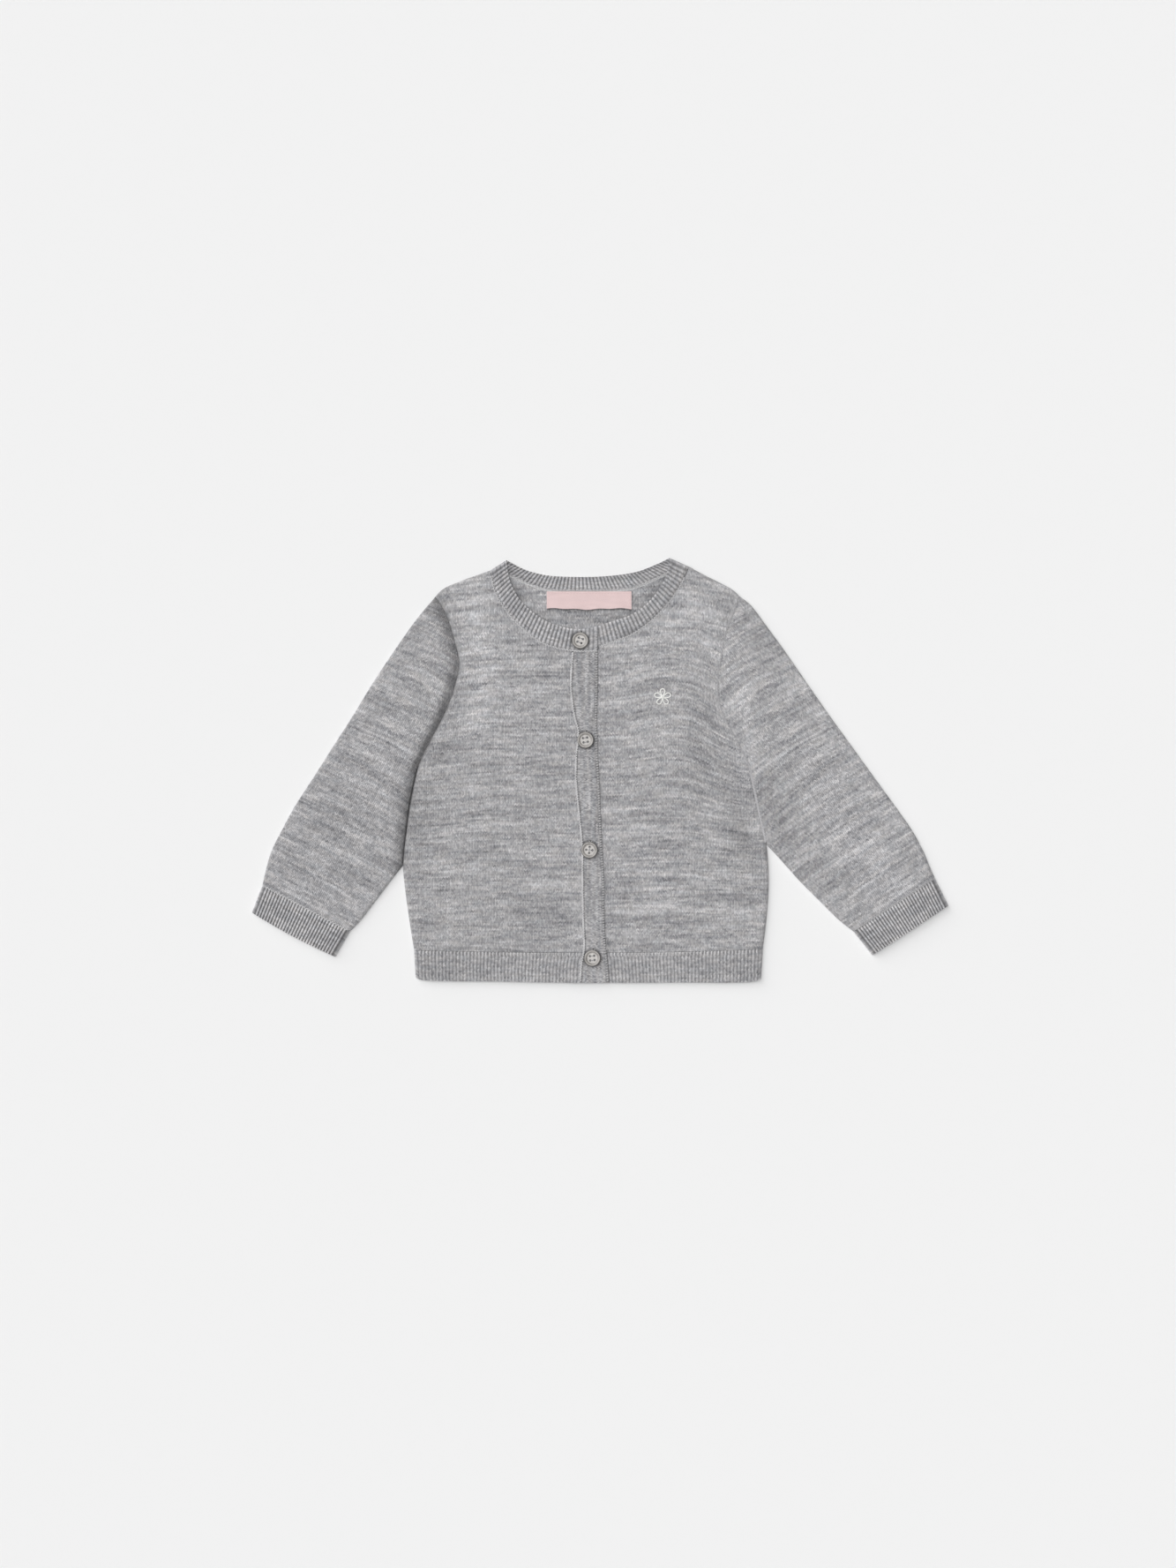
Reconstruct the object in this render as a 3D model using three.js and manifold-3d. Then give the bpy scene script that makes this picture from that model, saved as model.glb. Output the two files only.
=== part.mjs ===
// A baby cardigan of fine heather-grey knit, buttoned up and laid flat on a table.
// Millimetres, +Z up. +X is the wearer's left, +Y runs towards the neck, and the table is z = 0.
import * as THREE from 'three';
import { mergeVertices } from 'three/addons/utils/BufferGeometryUtils.js';
import Module from 'manifold-3d';

const wasm = await Module();
wasm.setup();

// Cloth
const WALL = 1.2;
const SEAM_GAP = 0.3;
const LAYER_GAP = 0.4;
const FOLD_REACH = 2.6;
const FOLD_MIDDLE = 1.35;
const RIB_RELIEF = 0.5;

// Heights of the upper faces of the top layer
const UNDER_BAND_TOP = 2 * WALL + LAYER_GAP;
const OVER_BAND_TOP = UNDER_BAND_TOP + SEAM_GAP + WALL;
const FRONT_TOP = 3.6;
const SLEEVE_TOP = 3.4;
const SLEEVE_CROWN = 0.7;
const FRONT_RIM = FOLD_MIDDLE + SEAM_GAP / 2;
const BACK_RIM = 0.85;
const BACK_TURN = 1.6;
const ARMHOLE_SEAM_TOP = 2.9;
const NECKBAND_LIFT = 0.8;

// Distances over which one height runs into the next
const PLACKET_SLOPE = 14;
const ARMHOLE_DIP_BODY = 6;
const ARMHOLE_DIP_SLEEVE = { right: 18, left: 9 };
const UNDERARM_BLEND = 0.06;

// Ribs, one crest and one valley a pitch
const HEM_RIB = 2.4;
const CUFF_RIB = 2.2;
const NECK_FRONT_RIB = 2.8;
const NECK_BACK_RIB = 2.6;
const NECK_PLAIN_END = 18;
const NECK_FOLD_REST = 0.8;

// Front bands
const UNDER_BAND_INSET = 1.2;
const UNDER_BAND_SEAM = 0.6;

// Buttons
const BUTTON = { radius: 5.7, height: 2.1, rim: 1.5, dish: 0.6, bevel: 0.5 };
const BUTTON_SIDES = 20;
const THREAD_HOLE = { radius: 0.75, offset: 1.3, sides: 6 };

// Buttonholes, upright slits that start above the buttons' centres
const BUTTONHOLE = { width: 0.8, length: 11, right: 0.8, up: 1.2 };

// Label
const LABEL = { left: -37.1, right: 21.5, top: 123.6, bottom: 111.5, thickness: 1.0, wave: 0.25 };

// Colours and finish
const FINISH = {
  knit: { color: 0xa4a3a5, roughness: 0.95, metalness: 0 },
  rib: { color: 0xa1a1a3, roughness: 0.95, metalness: 0 },
  label: { color: 0xe1cac8, roughness: 0.6, metalness: 0 },
  button: { color: 0xaaa6a3, roughness: 0.35, metalness: 0 },
};

const table = (columns, ...rows) =>
  rows.map((row) => Object.fromEntries(columns.map((name, i) => [name, row[i]])));

// Outlines of the body, from the shoulder tip down
const ARMHOLE = {
  right: table(['x', 'y'],
    [-113.8, 120.2], [-106.6, 107.7], [-101.0, 89.9], [-97.6, 74.7],
    [-100.5, 58.5], [-108.6, 37.3], [-118.5, 18.5], [-125.4, 3.7]),
  left: table(['x', 'y'],
    [95.8, 120.6], [91.6, 108.1], [86.9, 96.4], [84.0, 81.1], [81.3, 65.0],
    [81.3, 52.0], [84.2, 40.6], [90.5, 27.0], [97.8, 13.5], [102.0, 5.1]),
};
const SIDE = {
  right: table(['x', 'y'],
    [-125.4, 3.7], [-130.5, -17.7], [-133.8, -40.0], [-136.3, -65.6],
    [-135.2, -80.0], [-132.4, -101.0], [-128.7, -124.4]),
  left: table(['x', 'y'],
    [102.0, 5.1], [106.9, -15.9], [111.4, -37.0], [114.6, -51.0],
    [116.1, -68.0], [116.1, -84.0], [114.6, -104.0], [112.2, -123.6]),
};
const NOTCH = { right: { x: -136.3, y: -65.6 }, left: { x: 114.6, y: -51.0 } };
const UNDERARM = { right: { x: -125.4, y: 3.7 }, left: { x: 102.0, y: 5.1 } };

// Shoulder folds, from the tip to the neckband
const SHOULDER = {
  right: table(['x', 'y'],
    [-113.8, 120.2], [-111.2, 123.2], [-107.0, 126.4], [-97.3, 130.5], [-86.9, 134.3], [-76.2, 138.0]),
  left: table(['x', 'y'], [95.8, 120.6], [91.8, 124.4], [82.5, 129.6], [72.4, 134.6], [61.3, 140.7]),
};

// Seam and free edges of the neckband. The fronts start at the centre and the back at the right shoulder.
const NECK_SEAM = {
  right: table(['x', 'y'],
    [-1.9, 82.4], [-10.0, 82.2], [-18.9, 82.5], [-29.0, 84.2], [-40.2, 88.0],
    [-52.3, 96.7], [-63.9, 108.8], [-72.5, 123.0], [-76.2, 138.0]),
  back: table(['x', 'y'],
    [-76.2, 138.0], [-63.9, 135.4], [-52.3, 130.1], [-37.1, 125.3], [-8.2, 124.4],
    [20.4, 125.9], [30.6, 129.1], [41.8, 134.2], [51.0, 138.2], [61.3, 140.7]),
  left: table(['x', 'y'],
    [-18.6, 83.0], [-10.0, 83.6], [-1.8, 85.4], [5.4, 87.6], [21.5, 93.8],
    [35.7, 103.8], [48.9, 118.0], [57.8, 132.4], [61.3, 140.7]),
};
const NECK_EDGE = {
  right: table(['x', 'y'],
    [-1.9, 99.6], [-10.0, 98.0], [-18.9, 97.7], [-27.0, 99.3], [-37.1, 102.9],
    [-47.3, 109.8], [-56.4, 119.0], [-62.5, 131.2], [-65.0, 145.2]),
  back: table(['x', 'y'],
    [-65.0, 145.2], [-52.3, 138.7], [-37.1, 134.7], [-14.9, 133.6], [5.2, 134.2],
    [25.6, 137.3], [39.7, 142.7], [47.9, 146.7]),
  left: table(['x', 'y'],
    [-18.6, 97.2], [-10.0, 97.8], [-1.8, 99.5], [5.3, 102.0], [19.5, 106.8],
    [30.6, 113.9], [39.7, 124.0], [44.8, 133.1], [47.9, 146.7]),
};

// The outer front band, from the neckband down to the hem's edge
const BAND = table(['y', 'seam', 'free'],
  [82.4, -18.8, -1.9],
  [56.7, -20.0, -2.0],
  [36.0, -17.3, -2.4],
  [27.0, -14.9, -2.3],
  [10.0, -16.4, -1.8],
  [-6.0, -16.6, -0.8],
  [-28.0, -14.6, 0.1],
  [-52.0, -12.3, 1.2],
  [-77.0, -12.0, 2.6],
  [-105.0, -11.5, 2.8],
  [-122.0, -10.9, 3.8],
  [-136.0, -13.1, 5.2],
  [-146.8, -13.6, 5.9]);

// The hem's seam and lower edge, from the wearer's right to the left
const HEM_SEAM = table(['x', 'y'],
  [-128.7, -124.4], [-70.0, -125.6], [-12.0, -126.0], [5.0, -126.0], [60.0, -125.2], [112.2, -123.6]);
const HEM_EDGE = table(['x', 'y'],
  [-127.6, -143.3], [-123.5, -144.7], [-70.0, -145.8], [-10.0, -146.8], [50.0, -146.5],
  [107.0, -145.6], [111.0, -143.8]);

// Sleeves: the fold on the outer side from the shoulder tip, and the one on the inner side from the notch
const SLEEVE_OUTER = {
  right: table(['x', 'y'],
    [-113.8, 120.2], [-126.6, 105.0], [-141.8, 83.6], [-156.5, 61.6], [-169.9, 39.6], [-183.9, 17.7],
    [-197.9, -4.3], [-212.0, -26.2], [-219.9, -40.9], [-227.2, -55.5], [-231.5, -70.1], [-233.5, -79.3]),
  left: table(['x', 'y'],
    [95.8, 120.6], [103.8, 114.2], [115.6, 98.6], [126.6, 83.6], [141.8, 61.6], [157.1, 39.6],
    [172.9, 17.7], [188.8, -4.3], [204.7, -26.2], [215.0, -40.9], [223.0, -55.5], [229.1, -70.1],
    [231.0, -74.2]),
};
const SLEEVE_INNER = {
  right: table(['x', 'y'],
    [-136.3, -65.6], [-143.5, -74.7], [-156.3, -91.7], [-166.0, -104.2], [-173.0, -111.4]),
  left: table(['x', 'y'],
    [114.6, -51.0], [123.5, -60.6], [137.6, -76.3], [153.4, -92.1], [164.6, -103.2], [174.9, -111.3]),
};

// Cuffs: corners on the sleeve seam and on the open end, and how far the open end bows out
const CUFF = {
  right: {
    seamOuter: { x: -233.5, y: -79.3 }, seamInner: { x: -173.0, y: -111.4 },
    endOuter: { x: -240.8, y: -98.2 }, endInner: { x: -183.2, y: -128.8 }, bow: 1.2,
  },
  left: {
    seamOuter: { x: 231.0, y: -74.2 }, seamInner: { x: 174.9, y: -111.3 },
    endOuter: { x: 240.5, y: -93.3 }, endInner: { x: 187.9, y: -127.7 }, bow: 0.3,
  },
};

// Soft ridges and troughs of the top layer, each along a line, with how far it spreads and how high it is
const FOLDS = table(['x1', 'y1', 'x2', 'y2', 'spread', 'rise'],
  [-99, 105, -93, 74, 9, 1.0],
  [-93, 74, -118, 12, 9, 1.3],
  [-118, 12, -128, -50, 8, 1.0],
  [-60, 60, -48, -20, 22, 0.5],
  [-85, -40, -60, -95, 24, 0.4],
  [78, 88, 76, 55, 7, -0.5],
  [80, 40, 103, -42, 8, -0.7],
  [66, 36, 92, -58, 10, 0.5],
  [30, 40, 40, -70, 24, 0.4],
  [-150, 50, -175, 5, 14, 0.5],
  [-165, -40, -190, -80, 14, 0.4],
  [120, 60, 150, 15, 14, 0.5],
  [160, -30, 195, -75, 15, 0.4]);

// Button centres, from the neck down
const BUTTONS = table(['x', 'y'], [-13.9, 89.6], [-10.3, 20.9], [-7.6, -55.0], [-5.6, -129.6]);

const mix = THREE.MathUtils.lerp;
const smooth = (value) => THREE.MathUtils.smoothstep(value, 0, 1);
const flat = Math.PI / 2;

// A smooth curve through a table's x and y, measured along its length from 0 to 1
function curveThrough(rows) {
  const curve = new THREE.CatmullRomCurve3(rows.map(({ x, y }) => new THREE.Vector3(x, y, 0)));
  curve.arcLengthDivisions = 400;
  return curve;
}

// Where on a curve, from 0 to 1, the point nearest to a given one is
function shareOf(curve, { x, y }, steps = 1000) {
  const target = new THREE.Vector3(x, y, 0);
  const distance = (i) => curve.getPointAt(i / steps).distanceTo(target);
  let best = 0;
  for (let i = 1; i <= steps; i += 1) {
    if (distance(i) < distance(best)) best = i;
  }
  return best / steps;
}

// One stretch of a curve as a function of 0 to 1
const stretch = (curve, from = 0, to = 1) => (share) =>
  curve.getPointAt(THREE.MathUtils.clamp(mix(from, to, share), 0, 1));

// Two stretches end to end, which meet at a given share
const joined = (first, second, meet) => (share) =>
  share < meet ? first(share / meet) : second((share - meet) / (1 - meet));

// A value of a table that is read by its y, straight between rows
function readAt(rows, column, y) {
  const below = rows.findIndex((row) => row.y <= y);
  if (below < 0) return rows[rows.length - 1][column];
  if (below === 0) return rows[0][column];
  const [high, low] = [rows[below - 1], rows[below]];
  return mix(low[column], high[column], (y - low.y) / (high.y - low.y));
}

// How far the soft ridges and troughs lift a point
function ripple(x, y) {
  return FOLDS.reduce((sum, { x1, y1, x2, y2, spread, rise }) => {
    const [dx, dy] = [x2 - x1, y2 - y1];
    const along = THREE.MathUtils.clamp(((x - x1) * dx + (y - y1) * dy) / (dx * dx + dy * dy), 0, 1);
    const away = Math.hypot(x - x1 - along * dx, y - y1 - along * dy);
    return sum + rise * Math.exp(-((away / spread) ** 2));
  }, 0);
}

// Upper face of the pieces that end at the outer band
function overTop(x, y) {
  const near = smooth((x - readAt(BAND, 'seam', y)) / PLACKET_SLOPE + 1);
  return mix(FRONT_TOP + ripple(x, y), OVER_BAND_TOP, near);
}

// Upper face of the pieces that come out from under the outer band
function underTop(x, y) {
  const away = smooth((x - readAt(BAND, 'free', y)) / PLACKET_SLOPE);
  return mix(UNDER_BAND_TOP, FRONT_TOP + ripple(x, y), away);
}

const topOf = { right: overTop, left: underTop };

// A four-sided patch whose edges are curves: low and high run across it, inner and outer along it.
// It gives the place of two stations, each a share of the way and a shift in millimetres.
function patch({ low, high, inner, outer }) {
  const corners = { a: low(0), b: low(1), c: high(0), d: high(1) };
  const blend = (s, t) => {
    const point = low(s).multiplyScalar(1 - t).addScaledVector(high(s), t);
    point.addScaledVector(inner(t), 1 - s).addScaledVector(outer(t), s);
    point.addScaledVector(corners.a, -(1 - s) * (1 - t)).addScaledVector(corners.b, -s * (1 - t));
    return point.addScaledVector(corners.c, -(1 - s) * t).addScaledVector(corners.d, -s * t);
  };
  const step = 0.01;
  const inward = (share) => (share > 0.5 ? -step : step);
  return (a, shiftA, b, shiftB) => {
    const here = blend(a.share, b.share);
    const across = blend(a.share + inward(a.share), b.share).distanceTo(here) / step;
    const along = blend(a.share, b.share + inward(b.share)).distanceTo(here) / step;
    return blend(
      THREE.MathUtils.clamp(a.share + shiftA / across, 0, 1),
      THREE.MathUtils.clamp(b.share + shiftB / along, 0, 1),
    );
  };
}

// Stations across or along a piece: one on a cut edge, plain ones, and ribs with crests and valleys in turn
const cut = (share) => ({ share, shift: (share === 0 ? 1 : -1) * SEAM_GAP / 2, turn: flat });
const at = (share) => ({ share, shift: 0, turn: flat });
const plain = (count, from = 0, to = 1) =>
  Array.from({ length: count }, (_, i) => at(mix(from, to, (i + 1) / (count + 1))));
const ribs = (count, from, to) =>
  Array.from({ length: 2 * count + 1 }, (_, i) => ({ ...at(mix(from, to, i / (2 * count))), crest: i % 2 }));

// Stations of an edge that turns over, from upright at the edge to flat
function turned(share, angles = [0, 30, 60, 90]) {
  const stations = angles.map((degrees) => ({ share, turn: THREE.MathUtils.degToRad(degrees), folds: true }));
  return share === 0 ? stations : stations.reverse();
}

// How far a station lies from its own share. A folded edge follows a quarter of an ellipse, whose inside
// starts a wall's thickness further in, and a sewn edge dips over its reach and keeps its gap.
function shiftOf(station, inside = false, seam = 0, reach = FOLD_REACH, gap = 0) {
  if (!station.folds) return station.shift;
  const start = gap + (inside ? WALL : 0);
  const folded = start + (gap + FOLD_REACH - start) * (1 - Math.cos(station.turn));
  const sewn = SEAM_GAP / 2 + reach * station.turn / flat;
  const distance = mix(folded, sewn, seam);
  return station.share === 0 ? distance : -distance;
}

// A geometry whose faces point out, whichever way round they were listed
function outward(positions, faces) {
  const corner = (i) => new THREE.Vector3().fromArray(positions, 3 * i);
  let volume = 0;
  for (let i = 0; i < faces.length; i += 3) {
    volume += corner(faces[i]).dot(corner(faces[i + 1]).cross(corner(faces[i + 2])));
  }
  const geometry = new THREE.BufferGeometry();
  geometry.setAttribute('position', new THREE.Float32BufferAttribute(positions, 3));
  geometry.setIndex(volume < 0 ? faces.slice().reverse() : faces);
  geometry.computeVertexNormals();
  return geometry;
}

// A closed cloth wall from a grid of point pairs, outside and inside. It can close on itself across.
function clothWall(grid, loops = false) {
  const [columns, rows] = [grid.length, grid[0].length];
  const faces = [];
  const quad = (a, b, c, d) => faces.push(a, b, c, a, c, d);
  const skin = (i, j) => (i % columns) * rows + j;
  const lining = (i, j) => columns * rows + skin(i, j);
  const last = loops ? columns : columns - 1;
  for (let i = 0; i < last; i += 1) {
    for (let j = 0; j < rows - 1; j += 1) {
      quad(skin(i, j), skin(i + 1, j), skin(i + 1, j + 1), skin(i, j + 1));
      quad(lining(i, j), lining(i, j + 1), lining(i + 1, j + 1), lining(i + 1, j));
    }
    quad(skin(i, 0), lining(i, 0), lining(i + 1, 0), skin(i + 1, 0));
    quad(skin(i, rows - 1), skin(i + 1, rows - 1), lining(i + 1, rows - 1), lining(i, rows - 1));
  }
  for (let j = 0; j < rows - 1 && !loops; j += 1) {
    quad(skin(0, j), skin(0, j + 1), lining(0, j + 1), lining(0, j));
    quad(skin(last, j), lining(last, j), lining(last, j + 1), skin(last, j + 1));
  }
  const pairs = grid.flat();
  const points = [...pairs.map(({ outside }) => outside), ...pairs.map(({ inside }) => inside)];
  return outward(points.flatMap((point) => point.toArray()), faces);
}

// The cloth wall over two rows of stations, from a function that gives the pair of points of each two
const wall = (across, along, faces, loops) =>
  clothWall(across.map((a) => along.map((b) => faces(a, b))), loops);

// A flat piece from rings of points, stacked from its upper outline to its lower one
function slab(rings) {
  const count = rings[0].length;
  const ends = [rings[0], rings[rings.length - 1]];
  const faces = [];
  ends.forEach((ring, end) => {
    const outline = ring.map(({ x, y }) => new THREE.Vector2(x, y));
    const first = end * (rings.length - 1) * count;
    THREE.ShapeUtils.triangulateShape(outline, []).forEach(([a, b, c]) => {
      faces.push(...(end ? [a, c, b] : [a, b, c]).map((index) => first + index));
    });
  });
  const turnsLeft = THREE.ShapeUtils.area(ends[0].map(({ x, y }) => new THREE.Vector2(x, y))) > 0;
  for (let ring = 0; ring < rings.length - 1; ring += 1) {
    for (let i = 0; i < count; i += 1) {
      const [a, b] = [ring * count + i, ring * count + (i + 1) % count];
      const side = [a, a + count, b, b, a + count, b + count];
      faces.push(...(turnsLeft ? side : side.reverse()));
    }
  }
  return outward(rings.flat().flatMap((point) => point.toArray()), faces);
}

// The body's outer edge on one side, from the hem seam up to the shoulder tip
const bodyEdge = (side) =>
  curveThrough([...[...SIDE[side]].reverse(), ...[...ARMHOLE[side]].reverse().slice(1)]);

// Rows of a front: those below the neckband's corner, and those beside it
const NECK_CORNER_ROW = 0.72;
const NECK_CORNER_ON_EDGE = 0.8;
const LOWER_ROWS = 15;
const UPPER_ROWS = 8;
const LAST_ROW = 0.985;
const lowerRows = plain(LOWER_ROWS, 0, NECK_CORNER_ROW);
const upperRows = plain(UPPER_ROWS, NECK_CORNER_ROW, LAST_ROW);
const bodyRows = [...lowerRows, at(NECK_CORNER_ROW), ...upperRows];

// Where on the body's edge a row ends, as a share of that edge
const edgeShare = (row) => (row < NECK_CORNER_ROW
  ? row / NECK_CORNER_ROW * NECK_CORNER_ON_EDGE
  : mix(NECK_CORNER_ON_EDGE, 1, (row - NECK_CORNER_ROW) / (1 - NECK_CORNER_ROW)));

// The centre edge of a front: the seam to its band
const centreCurve = {
  right: curveThrough(BAND.map(({ y, seam }) => ({ x: seam, y })).reverse()),
  left: curveThrough(BAND.map(({ y, free }) => ({ x: free, y })).reverse()),
};
const HEM_CORNER = { right: { x: -11.3, y: -126 }, left: { x: 4.2, y: -126 } };
const NECK_CORNER = { right: { x: -18.8, y: 82.4 }, left: { x: -1.9, y: 85.4 } };

// Columns of a front between its centre and the last one before the side
const FRONT_COLUMNS = 8;
const LAST_COLUMN = 0.97;

// A front, from its centre edge out to the side and from the hem seam up to the shoulder
function front(side) {
  const [edge, centre] = [bodyEdge(side), centreCurve[side]];
  const [hem, neck] = [curveThrough(HEM_SEAM), curveThrough(NECK_SEAM[side])];
  const start = shareOf(centre, HEM_CORNER[side]);
  const corner = shareOf(neck, NECK_CORNER[side]);
  const place = patch({
    low: stretch(hem, shareOf(hem, centre.getPointAt(start)), side === 'right' ? 0 : 1),
    high: stretch(curveThrough(SHOULDER[side]), 1, 0),
    inner: joined(stretch(centre, start, 1), stretch(neck, corner, 1), NECK_CORNER_ROW),
    outer: (row) => edge.getPointAt(edgeShare(row)),
  });
  const underarm = shareOf(edge, UNDERARM[side]);
  const across = [cut(0), ...plain(FRONT_COLUMNS, 0, LAST_COLUMN), ...turned(1)];
  const along = [cut(0), ...bodyRows, ...turned(1)];
  return wall(across, along, (a, b) => {
    const seam = smooth((edgeShare(b.share) - underarm) / UNDERARM_BLEND + 0.5);
    const shift = (inside) => shiftOf(a, inside, seam, ARMHOLE_DIP_BODY);
    const outside = place(a, shift(false), b, shiftOf(b));
    const inside = place(a, shift(true), b, shiftOf(b, true));
    const full = topOf[side](outside.x, outside.y);
    const sewn = mix(ARMHOLE_SEAM_TOP, full, smooth(a.turn / flat));
    const upper = mix(mix(FRONT_RIM, full, Math.sin(a.turn)), sewn, seam);
    const lower = mix(mix(FRONT_RIM, full - WALL, Math.sin(a.turn)), sewn - WALL, seam);
    outside.z = mix(FRONT_RIM, upper, Math.sin(b.turn));
    inside.z = mix(FRONT_RIM, lower, Math.sin(b.turn));
    return { outside, inside };
  });
}

// Points of an outline at some shares of a curve, each with the way out of the piece. The piece lies to the
// left of the curve's run, or to its right where side is -1.
function outlineAlong(curve, shares, { side = 1, folds = false }) {
  return shares.map((share) => {
    const tangent = curve.getTangentAt(share);
    const out = new THREE.Vector3(tangent.y, -tangent.x, 0).multiplyScalar(side);
    return { point: curve.getPointAt(share), out, folds, gap: folds ? 0 : SEAM_GAP / 2 };
  });
}

const spaced = (count, from, to) => Array.from({ length: count }, (_, i) => mix(from, to, i / (count - 1)));

// How near the outline of the back comes to the ends of its curves
const CURVE_START = 0.01;
const SHOULDER_START = 0.03;
const EDGE_END = 0.995;

// The outline of the back, counter to the clock from the hem's seam at the wearer's right
function backOutline() {
  const edgeRows = [0, ...bodyRows.map(({ share }) => edgeShare(share)), EDGE_END];
  const [right, left] = [bodyEdge('right'), bodyEdge('left')];
  const split = (edge, underarm) => {
    const start = shareOf(edge, underarm);
    const rows = (sewn) => edgeRows.filter((share) => (share > start) === sewn);
    return { folded: rows(false), sewn: rows(true) };
  };
  const [rightRows, leftRows] = [split(right, UNDERARM.right), split(left, UNDERARM.left)];
  const shoulder = spaced(6, SHOULDER_START, 1 - CURVE_START);
  return [
    ...outlineAlong(curveThrough(HEM_SEAM), spaced(9, CURVE_START, 1 - CURVE_START), {}),
    ...outlineAlong(left, leftRows.folded, { folds: true }),
    ...outlineAlong(left, leftRows.sewn, {}),
    ...outlineAlong(curveThrough(SHOULDER.left), shoulder, { folds: true }),
    ...outlineAlong(curveThrough(NECK_SEAM.back), spaced(19, 1 - CURVE_START, CURVE_START), { side: -1 }),
    ...outlineAlong(curveThrough(SHOULDER.right), [...shoulder].reverse(), { side: -1, folds: true }),
    ...outlineAlong(right, rightRows.sewn.reverse(), { side: -1 }),
    ...outlineAlong(right, rightRows.folded.reverse(), { side: -1, folds: true }),
  ];
}

// Rings of a slab that lies on the table: its lower edge turns up where the cloth folds over, in two slopes
const TURN_STEP = 0.3;
function slabRings(outline) {
  const ring = (height, inset) => outline.map(({ point, out, folds, gap }) =>
    point.clone().addScaledVector(out, -gap - (folds ? inset : 0)).setZ(height));
  const step = ring(BACK_RIM * TURN_STEP, BACK_TURN * TURN_STEP);
  return [ring(WALL, 0), ring(BACK_RIM, 0), step, ring(0, BACK_TURN)];
}

const back = () => slab(slabRings(backOutline()));

// The hem of the back, whose seam keeps its gap to the back
const HEM_START = 0.004;
const HEM_COLUMNS = 11;

function hemBack() {
  const side = (curve, shares, away, gap) => shares.map((share) => (
    { point: curve.getPointAt(share), out: new THREE.Vector3(0, away, 0), folds: false, gap }));
  const shares = spaced(HEM_COLUMNS, HEM_START, 1 - HEM_START);
  return slab(slabRings([
    ...side(curveThrough(HEM_EDGE), shares, -1, 0),
    ...side(curveThrough(HEM_SEAM), [...shares].reverse(), 1, SEAM_GAP / 2),
  ]));
}

// Where the ribs of a front's hem start and end, as shares of its width
const HEM_RIBBED = { from: 0.01, to: 0.975 };

// The hem of a front, ribbed from its band out to the side
function hemFront(side) {
  const [seam, edge, centre] = [curveThrough(HEM_SEAM), curveThrough(HEM_EDGE), centreCurve[side]];
  const [corner, end] = [centre.getPointAt(shareOf(centre, HEM_CORNER[side])), centre.getPointAt(0)];
  const outer = side === 'right' ? 0 : 1;
  const place = patch({
    low: stretch(edge, shareOf(edge, end), outer),
    high: stretch(seam, shareOf(seam, corner), outer),
    inner: stretch(centre, 0, shareOf(centre, corner)),
    outer: stretch(new THREE.LineCurve3(edge.getPointAt(outer), seam.getPointAt(outer))),
  });
  const count = Math.round(end.distanceTo(edge.getPointAt(outer)) / HEM_RIB) - 2;
  const across = [cut(0), ...ribs(count, HEM_RIBBED.from, HEM_RIBBED.to), ...turned(1)];
  const along = [at(0), at(0.5), cut(1)];
  return wall(across, along, (a, b) => {
    const outside = place(a, shiftOf(a), b, shiftOf(b));
    const inside = place(a, shiftOf(a, true), b, shiftOf(b, true));
    const full = topOf[side](outside.x, outside.y);
    outside.z = mix(FRONT_RIM, full, Math.sin(a.turn)) + (a.crest ? RIB_RELIEF : 0);
    inside.z = mix(FRONT_RIM, full - WALL, Math.sin(a.turn));
    return { outside, inside };
  });
}

// Stations round a flattened tube: the outer fold, the upper layer, the inner fold and the lower layer
function tubeRing(upper, lower) {
  const fold = (share, angles) => turned(0, angles).map((station) => ({ ...station, share }));
  const under = lower.map((station) => ({ ...station, turn: -flat })).reverse();
  return [...fold(0, [-90, -45, 0, 45, 90]), ...upper, ...fold(1, [90, 45, 0, -45, -90]), ...under];
}

// The two faces of a flattened tube where its upper layer has the given heights
function tubeFaces(a, outside, inside, upper, lower) {
  const rise = Math.sin(a.turn);
  outside.z = rise > 0 ? mix(FOLD_MIDDLE, upper, rise) : FOLD_MIDDLE * (1 + rise);
  inside.z = rise > 0 ? mix(FOLD_MIDDLE, lower, rise) : FOLD_MIDDLE + (FOLD_MIDDLE - WALL) * rise;
  return { outside, inside };
}

// Upper face of a sleeve and its cuff
const sleeveTop = (share, { x, y }) =>
  SLEEVE_TOP + SLEEVE_CROWN * Math.sin(Math.PI * share) + ripple(x, y) / 2;

const asPoint = ({ x, y }) => new THREE.Vector3(x, y, 0);

// Rows of a sleeve from the first one below its fold, and how far across it the rows of the body go on
const SLEEVE_ROWS = 8;
const FIRST_SLEEVE_ROW = 0.08;
const LAST_ROUND_SLEEVE = 0.96;

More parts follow.
